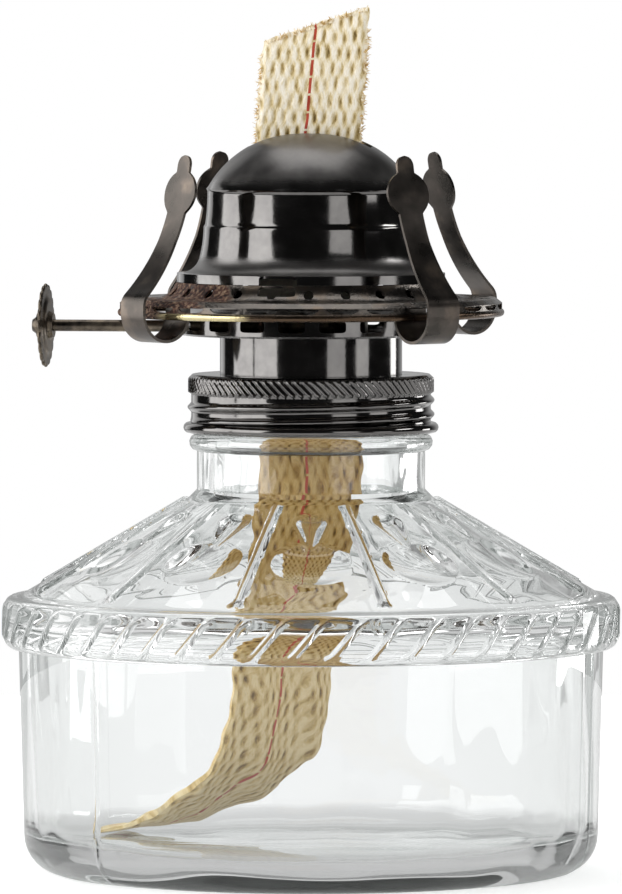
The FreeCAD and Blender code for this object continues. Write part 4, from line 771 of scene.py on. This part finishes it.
# %% [markdown]
# ### Chimney prongs
# Each prong is a strip of spring steel: it is fixed under the gallery, curls round its edge and
# rises outside, with a round ear and a narrow finger that grip the glass. Its line is three arcs
# with straights between. A curve with a profile could sweep it, but not with a width that changes
# as here. The strip's edges are bevelled, and the bevel gets the finish of a sheared edge.

# %% Chimney prongs: width
EAR_LEVEL, TIP_LEVEL, ARM_LEVEL, PRONG_SHEET = 139.75, 145.45, 118, 0.6


def prong_width(up, share):
    """The strip's width at a height: wide leg, narrower arm, round ear and narrow finger."""
    if share < 0.4 or up < ARM_LEVEL:
        return 7.8
    ear = 10.3 * sqrt(max(0.0, 1 - ((up - EAR_LEVEL) / 4.6) ** 2)) if 135.5 < up < 144 else 0
    arm = 7.8 - 2.0 * min(1.0, (up - ARM_LEVEL) / 12)
    if up < EAR_LEVEL:
        return max(arm, ear)
    tip = 4.1 if up < TIP_LEVEL else 4.1 * sqrt(max(0.001, 1 - ((up - TIP_LEVEL) / 2.05) ** 2))
    return max(ear, tip)


# %% Chimney prongs: line
def arc(centre, radius, angle):
    """A point at an angle on a circle."""
    return tuple(centre + radius * Vector((cos(angle), sin(angle))))


# From under the gallery: a half round about its edge, a short upright, a small round outwards, the
# long round of the arm, and the straight finger. rise and bend are where the two rounds turn.
rise, bend = radians(10.2), radians(45.1)
arm_centre = Vector((31.5 + 7 * sin(rise) + 40 * cos(rise), 147.5 - 7 * cos(rise) + 40 * sin(rise)))
corner = Vector((41.6, 117.1))
spine = trace([
    (33.6, 117.15), (33.6, 115.5, 4), (39.2, 109.9, "arc"), (44.8, 115.5, 24), (44.8, 117.1, 3),
    (*arc(corner, 3.2, bend / 2), "arc"), (*arc(corner, 3.2, bend), 6),
    (*arc(arm_centre, -40, (bend + rise) / 2), "arc"), (*arc(arm_centre, -40, rise), 44),
    (31.5, 147.5, 26)])
lengths = [0.0]
for start, end in zip(spine, spine[1:]):
    lengths.append(lengths[-1] + (end - start).length)
print("a prong's strip is", round(lengths[-1], 1), "mm long")

# %% Chimney prongs: four strips
for number in range(1, 5):
    mesh = strip(12, len(spine) - 1, PRONG_SHEET)
    for vertex in mesh.verts:
        row = round(vertex.co.y * (len(spine) - 1))
        run = (spine[min(row + 1, len(spine) - 1)] - spine[max(row - 1, 0)]).normalized()
        point = spine[row] + Vector((-run.y, run.x)) * vertex.co.z
        side = (vertex.co.x - 0.5) * prong_width(spine[row].y, lengths[row] / lengths[-1])
        vertex.co = (point.x, side, point.y)
    bmesh.ops.recalc_face_normals(mesh, faces=mesh.faces)
    rims = [e for e in mesh.edges if len(e.link_faces) == 2 and e.calc_face_angle(0) > 1.2]
    worn = bmesh.ops.bevel(mesh, geom=rims, offset=0.12, offset_type="OFFSET", affect="EDGES",
                           segments=1, profile=0.5, material=-1, clamp_overlap=True)
    for face in worn["faces"]:
        face.material_index = 1
    turn = radians(90 * number - 45)
    bmesh.ops.rotate(mesh, matrix=Matrix.Rotation(turn, 3, "Z"), verts=mesh.verts)
    finished("prong_%d_of_spring_strip" % number, mesh, "prong_%d" % number,
             [spring_steel, sheared_edge], 40, ["prong_%d" % number])

# %% [markdown]
# ## Wick
# The wick is one long woven cotton tape. It stands straight in its tube and then hangs loose in
# the font, twists, and lies down on the glass floor. A cloth simulation could drape it, but the
# tape would fall where it likes. So it is one strip that is carried onto a line of stops, each with
# its place in millimetres and the tape's turn about the upright in degrees.

# %% Wick: its line
STOPS = ((0, 0, 178, 0), (0, 0, 120, 0), (0, 0, 100, 0), (0, 0, 91.7, 0), (0, 0, 80, 2),
         (-1.1, 0.1, 70, 8), (-2.7, 0.4, 60, 17), (-4.5, 0.9, 50, 25), (-5.7, 1.3, 42, 31),
         (-6.7, 1.8, 35.3, 35), (-8.9, 2.8, 28.6, 37), (-11.5, 4.6, 22.7, 38), (-16.4, 7.0, 18.0, 41),
         (-22.8, 9.6, 14.1, 47), (-30.8, 12.0, 10.3, 70), (-40.0, 14.4, 6.9, 80), (-45.5, 15.8, 6.1, 84))
stops = [Vector(stop) for stop in STOPS]
line = []
for n in range(len(stops) - 1):
    # A Catmull-Rom curve: it passes through each stop, and each of its four numbers is carried along.
    p = [stops[max(0, min(len(stops) - 1, n + k))] for k in (-1, 0, 1, 2)]
    for k in range(80):
        t = k / 80
        line.append(0.5 * (2 * p[1] + (p[2] - p[0]) * t + (2 * p[0] - 5 * p[1] + 4 * p[2] - p[3]) * t * t
                           + (3 * p[1] - p[0] - 3 * p[2] + p[3]) * t ** 3))
line.append(stops[-1])
runs = [0.0]
for start, end in zip(line, line[1:]):
    runs.append(runs[-1] + (end.xyz - start.xyz).length)
wick_length = runs[-1]
print("the wick is", round(wick_length, 1), "mm long")

# %% [markdown]
# ### Weave
# Each column of the tape is a row of long stitches, and neighbouring columns are half a stitch
# apart. The product of two cosines makes that pattern, a little noise makes it uneven, and its
# height goes into the attribute from which the cotton paints shade in the hollows. The top is cut
# at a slant and leans over.

# %% Wick: weave it along the line
WICK_THICK, CORD, STITCH, CUT_SLANT = 2.3, 2.06, 6.6, 7.1


def top_lean(z):
    """How far the free top of the wick stands to the right of its line, at a height."""
    return 1.8 * min(1.0, max(0.0, (z - 148) / 26)) - 0.7 * min(1.0, max(0.0, (z - 145.5) / 2.5))


wick_mesh = strip(88, 430, 1.0)
cloth_map = wick_mesh.loops.layers.uv.new("cloth")
for face in wick_mesh.faces:
    for loop in face.loops:
        loop[cloth_map].uv = loop.vert.co.xy
weave_and_hollow_shade_layer = wick_mesh.verts.layers.float.new("weave")
for vertex in wick_mesh.verts:
    across, share, level = vertex.co
    slant = CUT_SLANT * (1 - across) + 0.5 * noise.noise(Vector((across * 9, level, 5))) - 0.4 * abs(level)
    place = share * wick_length
    if place < 30:
        place += (0.6 + max(0.0, slant)) * (1 - place / 30)
    here = min(bisect(runs, place) - 1, len(runs) - 2)
    spot = line[here].lerp(line[here + 1], (place - runs[here]) / (runs[here + 1] - runs[here]))
    run = line[min(here + 3, len(line) - 1)].xyz - line[max(here - 3, 0)].xyz
    width = Vector((cos(radians(spot.w)), sin(radians(spot.w)), 0))
    down = (run - width * run.dot(width)).normalized()
    flat = (across - 0.5) * WICK_WIDTH
    wander = 0.35 * noise.noise(Vector((flat / 4, place / 7, 0)))
    weave = cos(2 * pi * (flat + wander) / CORD) * cos(2 * pi * (place + 2 * wander) / STITCH)
    weave += 0.6 * noise.noise(Vector((flat / 1.2, place / 3, level)))
    # Higher in the hollows, where the cotton paints shade from it.
    vertex[weave_and_hollow_shade_layer] = 0.3 + 0.55 * max(-0.5, weave)
    edge = bump(min(across, 1 - across), 0.05)
    frayed = bump(share, 0.02) + bump(1 - share, 0.08)
    lift = level * WICK_THICK * (1 - 0.5 * edge) * (1 - 0.5 * frayed)
    lift -= (1 if level > 0 else -1) * 0.35 * max(0.0, weave) ** 1.5 * (1 - edge)
    side = flat + 0.25 * sin(2 * pi * place / STITCH) * edge + 0.35 * noise.noise(Vector((0, 0, place / 5)))
    side += top_lean(spot.z)
    vertex.co = spot.xyz + width * side + down.cross(width) * lift
wick = finished("wick_of_woven_cotton", wick_mesh, "wick", [cotton], 60)
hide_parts("wick", "wick_tail")
# It bends between two bodies, so it hangs on neither of them.
wick.parent = None
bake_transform(wick)

# %% [markdown]
# ### Loose ends
# The cut end and both edges shed single fibres, which is what makes cotton look soft. A hair
# system could grow them, but hair is not a mesh, so each fibre is a thin three-sided cone.

# %% Wick: its loose ends
FIBRES, TOP_FIBRES = 520, 240
fray_mesh = bmesh.new()
for number in range(FIBRES):
    throw = [0.5 + 0.5 * noise.cell(Vector((number, k, 0.5))) for k in range(7)]
    if number < TOP_FIBRES:
        flat = (throw[0] - 0.5) * WICK_WIDTH
        root = Vector((flat + 1.1, (throw[1] - 0.5) * 1.8, 177.0 - CUT_SLANT * (0.5 - flat / WICK_WIDTH)))
        along = Vector((throw[2] - 0.5, throw[3] - 0.5, 0.5 + 0.5 * throw[4]))
    else:
        out = 1 if throw[0] > 0.5 else -1
        root = Vector((out * 10.7, (throw[1] - 0.5) * 1.6, 149 + (24 if out > 0 else 19) * throw[2]))
        root.x += top_lean(root.z)
        along = Vector((out, 1.4 * (throw[3] - 0.5), 2.4 * (throw[4] - 0.5)))
    fibre_length = 0.6 + 1.1 * throw[5] ** 2
    stand = along.to_track_quat("Z", "Y").to_matrix().to_4x4()
    seat = Matrix.Translation(root + along.normalized() * fibre_length * 0.3) @ stand
    bmesh.ops.create_cone(fray_mesh, segments=3, radius1=0.14 + 0.2 * throw[6], radius2=0.03,
                          depth=fibre_length, cap_ends=True, matrix=seat)
finished("loose_ends_of_wick", fray_mesh, "wick", [loose_fibre], 60)

# %% [markdown]
# ## The parts that stay as CAD
# The cup, the tubes, the shaft and its small fittings are plain turned or folded parts whose
# solids already have their shape, so they only get their finish.

# %% Dress the CAD parts
for name, finish in (("burner_base", black), ("wick_tube", tube_steel), ("vent_tube", tube_steel),
                     ("shaft_bushing", gallery_steel), ("shaft_bracket", gallery_steel),
                     ("prong_rivets", spring_steel), ("knob_shaft", wheel_steel),
                     ("star_wheel_left", wheel_steel), ("star_wheel_right", wheel_steel),
                     ("collar_gasket", rubber)):
    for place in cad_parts[name].material_slots:
        place.material = finish
    print(name, "in", finish.name)

# %% [markdown]
# ## Floor
# A plain pale table top that keeps a soft shadow. Part of its white is its own glow, and only for
# the camera and through the glass, so that it lights nothing. White laminate gives the eye an even
# matt white, and the glow grows outwards so that the shadow near the lamp stays. Seen through the
# glass the table is glow alone, and its dimmer middle there is a painted shadow.

# %% Floor
floor_mesh = bmesh.new()
bmesh.ops.create_circle(floor_mesh, cap_ends=True, segments=96, radius=0.5)
table = bpy.data.meshes.new("table_top")
floor_mesh.to_mesh(table)
floor_mesh.free()
table_top = bpy.data.objects.new("table_top", table)
bpy.context.scene.collection.objects.link(table_top)
white, tree, shader = material("white_laminate", {
    "Base Color": "#E8E8E8", "Roughness": 0.8, "Emission Color": "#FFFFFF", "Specular IOR Level": 0.1})
path = add(tree, "LightPath")
reach = add(tree, "VectorMath", {0: add(tree, "TexCoord").outputs["Object"]}, operation="LENGTH")
glow = add(tree, "MapRange", {"Value": reach.outputs["Value"], 1: 0.07, 2: 0.14, 3: 0.35, 4: 1.0})
seen_glow = add(tree, "Math", {0: path.outputs["Is Camera Ray"], 1: glow}, operation="MULTIPLY")
feed(tree, shader, {"Emission Strength": seen_glow})
# Painted shadow: seen through the glass the table is only glow, dimmer near the lamp.
glow_and_painted_shadow_through = add(tree, "MapRange", {"Value": reach.outputs["Value"], 1: 0.055, 2: 0.12, 3: 0.55, 4: 0.97})
through = add(tree, "Emission", {"Strength": glow_and_painted_shadow_through})
table_look = add(tree, "MixShader", {0: path.outputs["Is Transmission Ray"], 1: shader.outputs["BSDF"],
                                     2: through})
tree.links.new(table_look.outputs[0], tree.nodes["Material Output"].inputs["Surface"])
table.materials.append(white)
table_top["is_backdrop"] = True

# %% [markdown]
# ## Finish
# Plain colour management, so that a colour renders about as it is written, and the dressed
# object's box.

# %% Finish
bpy.context.scene.view_settings.view_transform = "Standard"
low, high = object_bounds()
print("the dressed box in mm", [round(v / MM, 1) for v in (*low, *high)])
